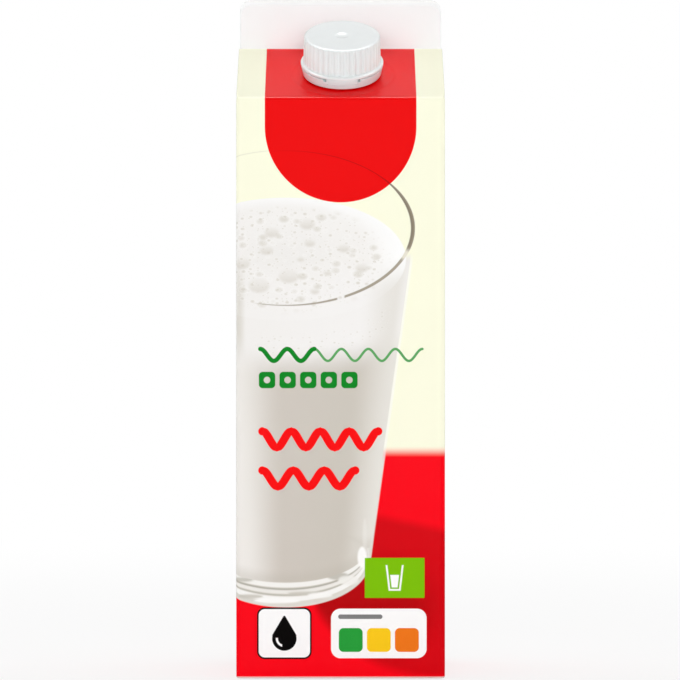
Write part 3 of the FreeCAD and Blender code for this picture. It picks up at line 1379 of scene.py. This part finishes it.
    def build_bridges(self, tree: bpy.types.NodeTree, finish: bpy.types.Material) -> bpy.types.Mesh:
        """Makes the thin bridges that span the slit, and seats them.

        Args:
            tree: The tree that repeats a shape round an axis.
            finish: The bridges' material.

        Returns:
            The finished mesh.
        """
        half = self.bridge_width / 2
        inner, outer = self.bore + 0.1, self.band_radius - 0.12
        low, high = self.band_top - self.bridge_sink, self.lip_foot + self.bridge_sink
        points = []
        for z, wide in ((low, half), ((low + high) / 2, half * self.bridge_waist), (high, half)):
            shoulder = outer - self.bridge_edge
            points += [(inner, -wide, z), (shoulder, -wide, z), (outer, -wide * 0.5, z)]
            points += [(outer, wide * 0.5, z), (shoulder, wide, z), (inner, wide, z)]
        faces = [(5, 4, 3, 2, 1, 0), (12, 13, 14, 15, 16, 17), *ring_faces(0, 3, 6)]
        shape = new_mesh("band_bridges", np.array(points), faces)
        tether = self.band_angle(self.tether)
        pitch = (360 - tether) / (self.bridge_count + 1)
        start = self.front + tether / 2 + pitch
        mesh = repeat_round(shape, tree, self.bridge_count, start, pitch, finish)
        mesh.transform(self.seat_matrix())
        finish_mesh(mesh, 30)
        return mesh


# ---------------------------------------------------------------------------------------------
# Finishes


@dataclass(frozen=True)
class Gleam:
    """A soft printed oval on the glass, placed from its axis and from a level."""

    shift: float
    rise: float
    wide: float
    high: float
    colour: Colour
    strength: float = 1.0


# How far below the milk each line of the glass's foot runs, half its thickness and its colour.
FOOT_LINES = (
    (0.9, 0.75, (247, 246, 242)),
    (2.3, 0.3, (178, 174, 163)),
    (3.2, 0.5, (240, 238, 233)),
    (4.3, 0.22, (186, 182, 171)),
    (5.6, 0.8, (250, 250, 247)),
    (7.2, 0.45, (222, 219, 211)),
)
FOOT_GLEAMS = (
    Gleam(-12.0, 3.6, 4.2, 0.7, (204, 200, 190), 0.9),
    Gleam(-3.0, 2.2, 7.5, 0.9, (255, 255, 253), 0.95),
    Gleam(6.0, 4.6, 5.0, 0.6, (206, 202, 192), 0.9),
    Gleam(11.5, 4.0, 4.0, 0.9, (252, 252, 249), 0.9),
    Gleam(17.5, 10.4, 3.6, 1.3, (188, 184, 173), 0.85),
    Gleam(21.0, 9.0, 3.4, 1.6, (244, 243, 238), 0.9),
    Gleam(-15.5, 9.2, 4.5, 0.8, (192, 188, 177), 0.8),
)
# Plain tones for the drink in its glass: light near the left, shaded right of the middle.
MILK_ACROSS: Stops = (
    (0.0, (214, 210, 202)),
    (0.25, (240, 237, 232)),
    (0.5, (208, 201, 192)),
    (0.8, (206, 200, 190)),
    (1.0, (232, 229, 222)),
)
UPPER_ACROSS: Stops = (
    (0.0, (228, 225, 219)),
    (0.2, (242, 240, 237)),
    (0.8, (245, 243, 241)),
    (0.95, (232, 229, 223)),
    (1.0, (243, 241, 237)),
)
FOAM_OUTWARD: Stops = (
    (0.0, (240, 238, 235)),
    (0.7, (244, 242, 239)),
    (1.0, (254, 254, 253)),
)


@dataclass(frozen=True)
class GlassPicture:
    """The printed glass of buttermilk, laid out in millimetres on the blank."""

    axis: float = -18.4
    side_level: float = 40.9
    side_half: float = 28.6
    side_lean: float = 0.1397
    rim: Oval = (150.9, 42.8, 26.1)
    foam: Oval = (140.5, 40.3, 20.6)
    bubble_count: int = 14
    bubble_spread: float = 0.66
    bubble_small: float = 1.3
    bubble_large: float = 4.0
    bubble_tilt: float = 0.70
    milk_foot: Oval = (43.8, 27.2, 11.6)
    foot: Oval = (39.0, 27.9, 15.1)
    wall: float = 0.8
    brink: float = 2.5  # how softly the walls and the milk begin, each way from the foam's level
    block_edge: tuple[float, float] = (72.0, 80.0)  # where the red field ends behind the glass
    base_fade: tuple[float, float] = (50.0, 42.0)  # where the thick base starts to show
    upper_fade: tuple[float, float] = (99.0, 112.0)
    upper_bow: float = -26.0
    inner_wall: float = -34.2
    rim_light: Colour = (233, 228, 212)
    rim_dark: Colour = (150, 140, 121)
    rim_core: Colour = (118, 108, 92)
    rim_front: Colour = (168, 159, 143)
    rim_faint: Colour = (222, 221, 200)
    rim_on_red: Colour = (168, 0, 2)
    bubble_shade: Colour = (214, 209, 199)
    speck_shade: Colour = (219, 215, 206)

    def half_width(self, sheet: Sheet) -> Term:
        """Half the glass's width at each height."""
        return (sheet.v - self.side_level) * self.side_lean + self.side_half

    def side(self, sheet: Sheet) -> Term:
        """The distance to the glass's outer sides."""
        return abs(sheet.u - self.axis) - self.half_width(sheet)

    def begun(self, sheet: Sheet) -> Term:
        """The mask of what lies below the foam's level, with a soft top."""
        return sheet.v.step(self.foam[0] + self.brink, self.foam[0] - self.brink)

    def oval(self, sheet: Sheet, ring: Oval) -> Term:
        """The distance to one of the glass's ovals, given as height, half width and half height."""
        return sheet.oval(self.axis, *ring)

    def stroke(self, sheet: Sheet, ring: Oval, half: float, soft: float) -> Term:
        """The mask of a thin line along the front half of an oval."""
        line = (abs(self.oval(sheet, ring)) - half).step(soft, -soft)
        return line * sheet.v.step(ring[0] + 1.0, ring[0] - 3.0)

    def paint(self, sheet: Sheet, paint: Painter, tongue: Term) -> None:
        """Paints the glass, the milk and its foam.

        Args:
            sheet: The blank.
            paint: The colours laid so far.
            tongue: The mask of the red tongue, which the rim's line crosses.
        """
        side = self.side(sheet)
        paint_in_group("glass_base", sheet, paint, self.paint_base, (side,))
        paint_in_group("glass_milk", sheet, paint, self.paint_milk, (side,))
        paint_in_group("glass_foam", sheet, paint, self.paint_foam)
        paint_in_group("glass_rim", sheet, paint, self.paint_rim, (tongue,))

    def below(self, sheet: Sheet, ring: Oval) -> Term:
        """The distance to everything above an oval's front edge."""
        return ((sheet.v - ring[0]) * -1.0).least(self.oval(sheet, ring))

    def paint_base(self, sheet: Sheet, paint: Painter, side: Term) -> None:
        """Paints the glass's thick base and its walls."""
        inside = side.most(self.below(sheet, self.foot)).most(sheet.v - self.rim[0])
        whole = inside.step(0.3, -0.3) * self.begun(sheet)
        red, cream = self.block_edge
        paint.lay(whole * sheet.v.step(cream, red), (232, 230, 224))
        paint.lay(whole * sheet.v.step(red, cream) * 0.6, (254, 254, 250))
        low = sheet.v.step(*self.base_fade) * whole
        paint.lay(low, (226, 223, 215))
        level, wide, high = self.milk_foot
        for drop, half, colour in FOOT_LINES:
            ring = (level - drop * 0.55, wide + drop * 0.05, high + drop * 0.45)
            paint.lay(self.stroke(sheet, ring, half, 0.3) * low, colour)
        v = self.foot[0] - self.foot[2]
        for gleam in FOOT_GLEAMS:
            spot = sheet.oval(self.axis + gleam.shift, v + gleam.rise, gleam.wide, gleam.high)
            paint.lay(spot.step(0.6, -0.6) * low * gleam.strength, gleam.colour)

    def paint_milk(self, sheet: Sheet, paint: Painter, side: Term) -> None:
        """Paints the milk behind the glass."""
        tree = sheet.u.tree
        inside = (side + self.wall).most(self.below(sheet, self.milk_foot))
        milk = inside.step(0.25, -0.25) * self.begun(sheet)
        across = ((sheet.u - self.axis) / self.half_width(sheet)) * 0.5 + 0.5
        paint.lay(milk, colour_ramp(tree, across, MILK_ACROSS))
        upper = colour_ramp(tree, across, UPPER_ACROSS)
        slope = sheet.v + (across - 0.5).math("POWER", 2.0) * self.upper_bow
        paint.lay(milk * slope.step(*self.upper_fade), upper)
        foot = self.below(sheet, self.milk_foot)
        paint.lay(milk * foot.step(-5.0, 0.0) * 0.35, (188, 182, 170))
        blob = sheet.oval(self.axis + 25.6, 40.6, 1.5, 3.5)
        paint.lay(blob.step(0.5, -0.5), (255, 255, 253))
        glint = sheet.oval(self.axis + 26.5, 47.5, 0.7, 6.0)
        paint.lay(glint.step(0.5, -0.5) * 0.25, (250, 249, 245))
        strip = (abs(sheet.u - self.inner_wall) - 1.2).step(1.6, -1.0)
        strip = strip * sheet.v.step(104, 116) * sheet.v.step(150, 138)
        paint.lay(strip * 0.8, self.speck_shade)

    def paint_foam(self, sheet: Sheet, paint: Painter) -> None:
        """Paints the foam's surface, its bubbles and the drops under the rim."""
        tree = sheet.u.tree
        level, wide, high = self.foam
        across = (sheet.u - self.axis) / wide
        up = (sheet.v - level) / high
        reach = length(across, up)
        surface = reach.step(1.006, 0.994)
        shade = colour_ramp(tree, reach + up * -0.10 + across * 0.06, FOAM_OUTWARD)
        front = sheet.v.step(level - 12, level + 2)
        paint.lay(surface * (front * 0.9 + 0.1), shade)
        flat = add_node(tree, "ShaderNodeCombineXYZ", {0: sheet.u.socket, 1: (sheet.v * 1.45).socket})
        middle = reach.step(0.93, 0.72)
        below = self.oval(sheet, (level - 9.5, wide, high))
        band = (abs(below + 1.0) - 2.6).step(2.0, -1.0) * sheet.v.step(level, level - 8)
        band = band * abs(sheet.u + 6.0).step(26, 18)
        for scale, size, strength, where in (
            (0.16, 0.30, 0.75, middle),
            (0.34, 0.27, 0.8, middle),
            (0.62, 0.22, 0.7, middle),
            (0.50, 0.24, 0.65, band),
        ):
            grid = {"Vector": flat.outputs[0], "Scale": scale}
            cell = add_node(tree, "ShaderNodeTexVoronoi", grid, voronoi_dimensions="2D")
            split = add_node(tree, "ShaderNodeSeparateColor", {0: cell.outputs["Color"]})
            chance = Term(tree, split.outputs[0])
            near = Term(tree, cell.outputs["Distance"])
            room = near - chance * size
            spot = room.step(0.10, -0.20) * chance.step(0.15, 0.85) * where
            paint.lay(spot * strength, self.speck_shade)
            glow = (abs(room + -0.07) - 0.02).step(0.07, 0.0) * where
            paint.lay(glow * 0.22, (253, 252, 250))
        golden_turn = math.pi * (3 - math.sqrt(5))
        for step in range(self.bubble_count):
            turn = step * golden_turn
            spread = self.bubble_spread * math.sqrt((step + 0.5) / self.bubble_count)
            share = step * math.sqrt(2) % 1
            size = self.bubble_small + (self.bubble_large - self.bubble_small) * share
            tall = size * self.bubble_tilt
            place = level + high * spread * math.sin(turn)
            bubble = sheet.oval(self.axis + wide * spread * math.cos(turn), place, size, tall)
            low = sheet.v.step(place + tall * 0.8, place - tall)
            strength = 0.85 - 0.3 * share
            paint.lay(bubble.step(0.5, -1.0) * (low * 0.7 + 0.3) * strength, self.bubble_shade)

    def paint_rim(self, sheet: Sheet, paint: Painter, tongue: Term) -> None:
        """Paints the line of the glass's rim."""
        ring = self.oval(sheet, self.rim)
        level = self.rim[0]
        right = sheet.u.step(11, 27)
        back = sheet.v.step(level - 4, level + 4)
        thick = right * 0.62 + 0.10
        line = (abs(ring + 0.2) - thick).step(0.16, -0.16)
        gap = sheet.disc(21.6, 141.9, 1.3).step(-0.4, 1.8)
        clear = tongue * -1.0 + 1.0
        arc = line * sheet.u.step(5, 14) * sheet.v.step(138, 141)
        paint.lay(arc * clear, self.rim_light)
        paint.lay(arc * gap * clear, self.rim_dark)
        core = (abs(ring + 0.35) - thick * 0.35).step(0.3, -0.3) * arc * gap * clear
        paint.lay(core * 0.5, self.rim_core)
        paint.lay(line * tongue * sheet.u.step(-34, 16) * 0.8, self.rim_on_red)
        faint = (abs(ring) - 0.12).step(0.2, -0.1) * sheet.u.step(-22, -26) * back
        paint.lay(faint * clear * 0.5, self.rim_faint)
        front_width = sheet.u.step(-30, 18) * 0.38 + 0.1
        front = (abs(ring + 0.2) - front_width).step(0.16, -0.16) * sheet.v.step(142.5, 140.5)
        breaks = abs(sheet.u - 0.1).step(0.8, 1.6) * sheet.u.step(-30.5, -25) * gap
        paint.lay(front * breaks, self.rim_front)


@dataclass(frozen=True)
class PrintedBoard:
    """Coated board with the pack's print on it, laid out on the flat blank."""

    period: float
    body: float
    ridge_run: float
    cream: Colour = (254, 254, 229)
    tongue_red: Colour = (240, 1, 4)
    block_red: Colour = (254, 0, 23)
    shade_red: Colour = (216, 0, 15)
    deep_red: Colour = (178, 0, 5)
    name_red: Colour = (252, 4, 8)
    green: Colour = (10, 136, 36)
    light_green: Colour = (92, 168, 96)
    field_green: Colour = (126, 194, 1)
    white: Colour = (254, 254, 254)
    coat_white: Colour = (250, 250, 250)
    fibre: Colour = (212, 207, 196)
    tongue_radius: float = 25.4
    tongue_level: float = 184.9
    block_top: tuple[float, float] = (78.0, 74.0)
    words_left: float = -26.9  # where the green ornament starts
    name_left: float = -26.2  # where the red lines start
    sign: tuple[float, float] = (18.1, 33.7)  # the middle of the green field
    label: tuple[float, float] = (-18.85, 15.15)  # the middle of the bordered white field
    details_left: float = 40.5
    details_foot: float = 96.0
    details_pitch: float = 3.1
    glass: GlassPicture = field(default_factory=GlassPicture)

    def material(self) -> bpy.types.Material:
        """Builds the material.

        Returns:
            The printed board.
        """
        material, tree, shader = new_material("coated_printed_board")
        blank = add_node(tree, "ShaderNodeUVMap", uv_map="blank")
        split = add_node(tree, "ShaderNodeSeparateXYZ", {0: blank.outputs[0]})
        around = Term(tree, split.outputs[0])
        half = self.period / 2
        sheet = Sheet(around.math("WRAP", half, -half), Term(tree, split.outputs[1]))
        local = add_node(tree, "ShaderNodeTexCoord").outputs["Object"]
        paint = self.start(tree, local)
        self.paint_block(sheet, paint)
        tongue = self.paint_tongue(sheet, paint)
        self.glass.paint(sheet, paint, tongue)
        paint_in_group("ornament_rows", sheet, paint, self.paint_rows)
        paint_in_group("small_fields", sheet, paint, self.paint_labels)
        paint_in_group("side_details", sheet, paint, self.paint_side)
        paint.lay(sheet.v.step(self.ridge_run - 0.25, self.ridge_run + 0.25), self.coat_white)
        paint.lay(sheet.v.step(0.25, -0.35), (243, 242, 238))
        self.paint_edges(tree, paint)
        tree.links.new(paint.colour, shader.inputs["Base Color"])
        self.surface(tree, shader, local)
        return material

    def start(self, tree: bpy.types.NodeTree, local: bpy.types.NodeSocket) -> Painter:
        """Lays the cream ground, with the faint cloudiness of coated board."""
        cloud = noise(tree, local, 45, 3)
        ground = colour_ramp(tree, cloud, ((0.3, self.cream), (0.7, (253, 253, 228))))
        return Painter(tree, ground)

    def paint_block(self, sheet: Sheet, paint: Painter) -> None:
        """Paints the red block round the foot of the pack and the soft shade across it."""
        block = sheet.v.step(*self.block_top)
        paint.lay(block, self.block_red)
        near = abs(sheet.u).step(70, 60)
        upper = (sheet.v - 57.0) + (sheet.u * 0.21)
        shadow = upper.step(2.2, -2.2)
        lower = sheet.oval(34.0, 44.0, 47.0, 44.0)
        band = shadow * lower.step(2.5, -2.5) * sheet.u.step(-14, -6) * near
        paint.lay(band, self.shade_red)
        core = sheet.oval(6.0, 24.0, 24.0, 15.0)
        paint.lay(core.step(9.0, -9.0) * band * 0.85, self.deep_red)

    def paint_tongue(self, sheet: Sheet, paint: Painter) -> Term:
        """Paints the red tongue from the ridge down to its round end and returns its mask."""
        radius, level = self.tongue_radius, self.tongue_level
        strip = (abs(sheet.u) - radius).most((sheet.v - level) * -1.0)
        shape = strip.least(sheet.disc(0.0, level, radius))
        mask = shape.step(0.1, -0.1)
        paint.lay(mask, self.tongue_red)
        return mask

    def wave(
        self, sheet: Sheet, start: float, end: float, level: float, swing: float, pitch: float, half: float
    ) -> Term:
        """The distance to a wavy line with round ends.

        Args:
            sheet: The blank.
            start: The line's left end.
            end: Its right end.
            level: Its middle height.
            swing: How far it rises and falls.
            pitch: The distance between crests.
            half: Half its thickness.

        Returns:
            The distance.
        """
        turns = 2 * math.pi / pitch
        near = sheet.u.most(start).least(end)
        for _ in range(2):
            phase = (near - start) * turns
            rise = (sheet.v - level) - phase.math("COSINE") * swing
            slope = phase.math("SINE") * (-swing * turns)
            near = near + ((sheet.u - near) + slope * rise) / (slope * slope + 1.0)
            near = near.most(start).least(end)
        crest = (near - start).math("MULTIPLY", turns).math("COSINE") * swing
        return length(sheet.u - near, (sheet.v - level) - crest) - half

    def paint_rows(self, sheet: Sheet, paint: Painter) -> None:
        """Paints plain ornament in the places of the pack's wording."""
        pitch = 9.05
        left = self.words_left
        fine = self.wave(sheet, left, 27.4, 108.4, 2.0, pitch, 0.42)
        paint.print_shape(fine, self.light_green)
        bold = self.wave(sheet, left, left + 2 * pitch, 108.4, 2.0, pitch, 0.75)
        paint.print_shape(bold, self.green)
        pitch = 6.9
        row = sheet.u.math("ADD", 27.4).math("WRAP", pitch, 0.0)
        place = Sheet(row, sheet.v)
        beads = place.box(2.75, 100.0, 2.75, 2.75, 1.3)
        inner = place.disc(2.75, 100.0, 1.1)
        bounds = abs(sheet.u + 10.3) - 17.2
        paint.print_shape(beads.most(inner * -1.0).most(bounds), self.green)
        for end, level, count in ((12.6, 80.1, 4), (4.9, 67.0, 3)):
            pitch = (end - self.name_left) / count
            line = self.wave(sheet, self.name_left, end, level, 2.7, pitch, 1.4)
            paint.print_shape(line, self.name_red)

    def paint_labels(self, sheet: Sheet, paint: Painter) -> None:
        """Paints the small fields at the foot of the front, with plain pictures in them."""
        paint.print_shape(sheet.box(*self.sign, 10.0, 6.7, 0.15), self.field_green)
        self.paint_tumbler(sheet, paint)
        paint.print_shape(sheet.box(*self.label, 9.15, 8.65, 2.6), (16, 14, 14))
        paint.print_shape(sheet.box(*self.label, 8.6, 8.1, 2.1), self.white)
        self.paint_drop(sheet, paint)
        paint.print_shape(sheet.box(12.8, 15.1, 16.0, 8.3, 3.2), self.white)
        paint.print_shape(sheet.box(6.6, 20.7, 7.4, 0.75, 0.7), (128, 128, 128))
        for u, colour in ((3.4, (40, 160, 60)), (12.8, (252, 204, 24)), (22.2, (240, 120, 24))):
            paint.print_shape(sheet.box(u, 12.9, 4.0, 4.0, 1.6), colour)

    def paint_tumbler(self, sheet: Sheet, paint: Painter) -> None:
        """Paints a plain white tumbler with a level of drink in the green field."""
        flare = (sheet.v - 33.6) * 0.12 + 2.5
        side = abs(sheet.u - self.sign[0]) - flare
        outer = side.most(abs(sheet.v - 33.7) - 4.3)
        inner = (side + 0.6).most(abs(sheet.v - 34.2) - 4.2)
        paint.print_shape(outer.most(inner * -1.0), self.white, 0.12)
        drink = (side + 1.15).most(abs(sheet.v - 32.6) - 2.1)
        paint.print_shape(drink, self.white, 0.12)

    def paint_drop(self, sheet: Sheet, paint: Painter) -> None:
        """Paints a plain black drop in the small white label."""
        middle = self.label[0]
        lean = abs(sheet.u - middle) * 0.86 + (sheet.v - 21.4) * 0.51
        cone = lean.most((sheet.v - 14.4) * -1.0)
        drop = cone.least(sheet.disc(middle, 13.4, 4.1)).most(sheet.v - 21.0)
        paint.print_shape(drop, (14, 12, 12), 0.12)
        shine = abs(sheet.disc(middle, 13.4, 2.5)) - 0.35
        paint.print_shape(shine.most(sheet.u + 19.6).most(sheet.v - 13.6), self.white, 0.12)

    def paint_side(self, sheet: Sheet, paint: Painter) -> None:
        """Paints plain rows of bars on the side panels, where such packs carry their details."""
        tree = sheet.u.tree
        pitch = self.details_pitch
        left = self.details_left
        row = ((sheet.v - self.details_foot) / pitch).math("FLOOR")
        seed = {"W": row.socket}
        random = add_node(tree, "ShaderNodeTexWhiteNoise", seed, noise_dimensions="1D")
        reach = Term(tree, random.outputs["Value"]) * 11.0 + 14.0
        within = (sheet.v - self.details_foot).math("WRAP", pitch, 0.0) - 1.5
        bar = (abs(within) - 0.42).most((sheet.u - left) * -1.0).most((sheet.u - left) - reach)
        zone = abs(sheet.v - 124.0) - 27.9
        paint.lay(bar.most(zone).step(0.1, -0.1), (96, 112, 92))
        frame_edge = abs(sheet.box(53.2, 33.0, 12.7, 20.0, 2.0)) - 0.3
        paint.print_shape(frame_edge, self.white)
        lines = (abs((sheet.v - 14.5).math("WRAP", 5.4, 0.0) - 2.7) - 0.35).most(abs(sheet.v - 33.0) - 18.6)
        columns = (abs(sheet.u - 48.2) - 5.4).least(abs(sheet.u - 61.2) - 2.8)
        paint.lay(lines.most(columns).step(0.1, -0.1), self.white)

    def paint_edges(self, tree: bpy.types.NodeTree, paint: Painter) -> None:
        """Shows the fibres where the board is cut."""
        mark = add_node(tree, "ShaderNodeAttribute", attribute_name="raw_edge")
        paint.lay(Term(tree, mark.outputs["Fac"]).step(0.4, 0.6), self.fibre)

    def surface(self, tree: bpy.types.NodeTree, shader: bpy.types.Node, local: bpy.types.NodeSocket) -> None:
        """Sets the satin coat and its fine relief."""
        grain = noise(tree, local, 900, 2)
        sheen = noise(tree, local, 60, 2)
        rough = sheen * 0.06 + 0.20
        tree.links.new(rough.socket, shader.inputs["Roughness"])
        shader.inputs["Specular IOR Level"].default_value = 0.12
        add_bump(tree, shader, grain, 0.010)


@dataclass(frozen=True)
class MouldedPlastic:
    """Matte moulded plastic with a fine texture and a faint cloudiness."""

    name: str
    light: Colour
    dark: Colour
    roughness: float
    relief: float
    milky: float = 0.0

    def material(self) -> bpy.types.Material:
        """Builds the material.

        Returns:
            The plastic.
        """
        material, tree, shader = new_material(self.name)
        local = add_node(tree, "ShaderNodeTexCoord").outputs["Object"]
        cloud = noise(tree, local, 140, 3)
        tint = colour_ramp(tree, cloud, ((0.25, self.dark), (0.75, self.light)))
        tree.links.new(tint, shader.inputs["Base Color"])
        rough = noise(tree, local, 220, 2) * 0.04 + self.roughness
        tree.links.new(rough.socket, shader.inputs["Roughness"])
        shader.inputs["Specular IOR Level"].default_value = 0.45
        shader.inputs["Subsurface Weight"].default_value = self.milky
        shader.inputs["Subsurface Radius"].default_value = (1.0, 1.0, 1.0)
        shader.inputs["Subsurface Scale"].default_value = 3 * MM
        if self.relief:
            add_bump(tree, shader, noise(tree, local, 2600, 2), self.relief)
        return material


# ---------------------------------------------------------------------------------------------
# The studio


class Ray(Enum):
    """The kinds of ray that see the plain white background."""

    CAMERA = "Is Camera Ray"
    GLOSSY = "Is Glossy Ray"
    TRANSMISSION = "Is Transmission Ray"


@dataclass
class Studio:
    """The floor, the plain soft lights and the camera."""

    ambient: float = 0.40
    gloss_level: float = 1.15
    key_power: float = 14.6
    side_power: float = 8.5
    back_power: float = 4.0
    top_power: float = 4.2
    card_power: float = 40.0
    lamp_side: float = 0.9
    card_sides: tuple[float, float] = (1.5, 0.45)
    wall_rise: tuple[float, float] = (0.30, 0.85)  # where the dark wall that gloss sees turns light
    floor_half: float = 6.0
    floor_fade: tuple[float, float] = (0.15, 0.8)  # how far out the floor turns plain white, in metres
    camera_spot: tuple[float, float, float] = (-0.0002, -1.250, 0.1134)
    lens: float = 192.0
    sensor: float = 36.0

    def sees_background(self, tree: bpy.types.NodeTree, rays: tuple[Ray, ...]) -> Term:
        """One for the rays that see the plain background, and zero for the rest."""
        path = add_node(tree, "ShaderNodeLightPath")
        total = Term(tree, path.outputs[rays[0].value])
        for ray in rays[1:]:
            total = total.most(Term(tree, path.outputs[ray.value]))
        return total

    def build_world(self) -> None:
        """White behind the pack, a dim even fill, and a low dark wall that only gloss sees."""
        world = bpy.data.worlds.new("studio")
        bpy.context.scene.world = world
        world.cycles.sampling_method = "NONE"
        tree = clear_nodes(world)
        plain = (1, 1, 1, 1)
        white = add_node(tree, "ShaderNodeBackground", {"Color": plain, "Strength": 1.0})
        fill = add_node(tree, "ShaderNodeBackground", {"Color": plain, "Strength": self.ambient})
        place = add_node(tree, "ShaderNodeTexCoord").outputs["Generated"]
        split = add_node(tree, "ShaderNodeSeparateXYZ", {0: place})
        shade = Term(tree, split.outputs["Z"]).step(*self.wall_rise).socket
        wall = add_node(tree, "ShaderNodeBackground", {"Color": shade, "Strength": self.gloss_level})
        shiny = self.sees_background(tree, (Ray.GLOSSY,)).socket
        gloss = add_node(tree, "ShaderNodeMixShader", {0: shiny, 1: fill.outputs[0], 2: wall.outputs[0]})
        clear = self.sees_background(tree, (Ray.CAMERA, Ray.TRANSMISSION)).socket
        seen = add_node(tree, "ShaderNodeMixShader", {0: clear, 1: gloss.outputs[0], 2: white.outputs[0]})
        add_node(tree, "ShaderNodeOutputWorld", {0: seen.outputs[0]})

    def build_floor(self) -> None:
        """A wide pale floor that reads as white and keeps the pack's shadow."""
        half = self.floor_half
        mesh = bpy.data.meshes.new("floor")
        points = [(-half, -half, 0), (half, -half, 0), (half, half, 0), (-half, half, 0)]
        mesh.from_pydata(points, [], [(0, 1, 2, 3)])
        material = bpy.data.materials.new("pale_floor")
        tree = clear_nodes(material)
        matte = add_node(tree, "ShaderNodeBsdfDiffuse", {"Color": rgb(246, 246, 246)})
        glow = add_node(tree, "ShaderNodeEmission", {"Strength": 1.0})
        place = add_node(tree, "ShaderNodeTexCoord").outputs["Object"]
        split = add_node(tree, "ShaderNodeSeparateXYZ", {0: place})
        away = length(Term(tree, split.outputs["X"]), Term(tree, split.outputs["Y"]))
        plain = away.step(*self.floor_fade) * 0.25 + 0.75
        seen = (self.sees_background(tree, (Ray.CAMERA, Ray.TRANSMISSION)) * plain).socket
        mix = add_node(tree, "ShaderNodeMixShader", {0: seen, 1: matte.outputs[0], 2: glow.outputs[0]})
        add_node(tree, "ShaderNodeOutputMaterial", {0: mix.outputs[0]})
        floor = new_object("floor", mesh, material)
        floor.visible_glossy = False
        floor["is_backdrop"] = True

    def add_light(self, name: str, spot: Vector, aim: Vector, side: float, power: float) -> bpy.types.Object:
        """Adds a square soft light that neither gloss nor the camera shows.

        Args:
            name: The light's name.
            spot: Where it is, in metres.
            aim: The point that it faces.
            side: Its side.
            power: Its power in watts.

        Returns:
            The lamp.
        """
        light = bpy.data.lights.new(name, "AREA")
        light.size = side
        light.energy = power
        lamp = bpy.data.objects.new(name, light)
        bpy.context.collection.objects.link(lamp)
        lamp.location = spot
        lamp.rotation_euler = (aim - spot).to_track_quat("-Z", "Y").to_euler()
        lamp.visible_glossy = False
        lamp.visible_camera = False
        return lamp

    def build_lights(self, centre: Vector) -> None:
        """Adds soft lights round the pack, level with it, and one overhead."""
        for name, spot, power in (
            ("front", (0.0, -1.45, 0.12), self.key_power),
            ("left", (-1.35, 0.55, 0.25), self.side_power),
            ("right", (1.35, 0.55, 0.25), self.side_power),
            ("back", (0.0, 1.45, 0.25), self.back_power),
            ("overhead", (0.0, 0.15, 1.2), self.top_power),
        ):
            self.add_light(name, Vector(spot), centre, self.lamp_side, power)
        wide, deep = self.card_sides
        card = self.add_light("card", Vector((0.0, -0.10, 1.45)), centre, wide, self.card_power)
        card.data.shape = "RECTANGLE"
        card.data.size_y = deep
        card.visible_glossy = True
        card.visible_diffuse = False

    def build_camera(self) -> None:
        """Adds the level camera before the front panel."""
        data = bpy.data.cameras.new("camera")
        data.lens = self.lens
        data.sensor_width = self.sensor
        camera = bpy.data.objects.new("camera", data)
        bpy.context.collection.objects.link(camera)
        camera.location = self.camera_spot
        camera.rotation_euler = (math.pi / 2, 0, 0)
        bpy.context.scene.camera = camera

    def build(self, centre: Vector) -> None:
        """Builds the whole studio round the pack's middle."""
        bpy.context.scene.view_settings.view_transform = "Standard"
        self.build_world()
        self.build_floor()
        self.build_lights(centre)
        self.build_camera()


def dress_spout(node: bpy.types.Object, finish: bpy.types.Material) -> None:
    """Gives the spout's CAD mesh its finish.

    Args:
        node: The CAD node's object.
        finish: The spout's material.
    """
    for place in range(len(node.material_slots)):
        node.material_slots[place].material = finish
    if not node.material_slots:
        node.data.materials.append(finish)


def corners(bounds: object) -> list[list[float]]:
    return [[float(value) for value in corner] for corner in bounds]


def main() -> None:
    """Builds the pack, its closure and the studio, and reports each piece."""
    logging.basicConfig(level=logging.INFO, format="%(name)s: %(message)s")
    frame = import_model()
    cad_box = corners(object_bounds())
    size = PackSize.from_frame("carton")

    board = PrintedBoard(4 * size.half, size.body, size.body + size.slant).material()
    body = PackBody(size)
    pack = new_object(body.name, body.build(), board)
    place_in_frame(pack, "carton")
    flap = BaseFlap(size)
    coat = MouldedPlastic("coated_plain_board", (244, 243, 239), (240, 239, 234), 0.34, 0.008).material()
    for mesh in (flap.build(), flap.build_creases()):
        place_in_frame(new_object(mesh.name, mesh, coat), None)

    # The cap's faint cyan tint and the band's stronger one are painted against the pink light that the red
    # roof reflects onto them.
    white = MouldedPlastic("white_moulded_cap", (236, 240, 240), (233, 237, 237), 0.24, 0.0, 0.03).material()
    band_white_against_red_bounce = MouldedPlastic("white_moulded_band", (228, 242, 243), (225, 239, 240), 0.24, 0.0, 0.03).material()
    pale = ((240, 240, 235), (234, 234, 228))
    natural = MouldedPlastic("natural_moulded_spout", *pale, 0.38, 0.006).material()
    closure = Closure(size)
    repeat = polar_array("repeat_round_axis")
    for mesh, node, finish in (
        (closure.build_cap(repeat, white), "screw_cap", white),
        (closure.build_band(), None, band_white_against_red_bounce),
        (closure.build_bridges(repeat, band_white_against_red_bounce), None, band_white_against_red_bounce),
    ):
        place_in_frame(new_object(mesh.name, mesh, finish), node)
    dress_spout(frame["nodes"]["spout"], natural)

    low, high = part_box("carton")
    Studio().build((low + high) / 2)
    {"cad": cad_box, "visual": corners(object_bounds())}


if __name__ == "__main__":
    main()
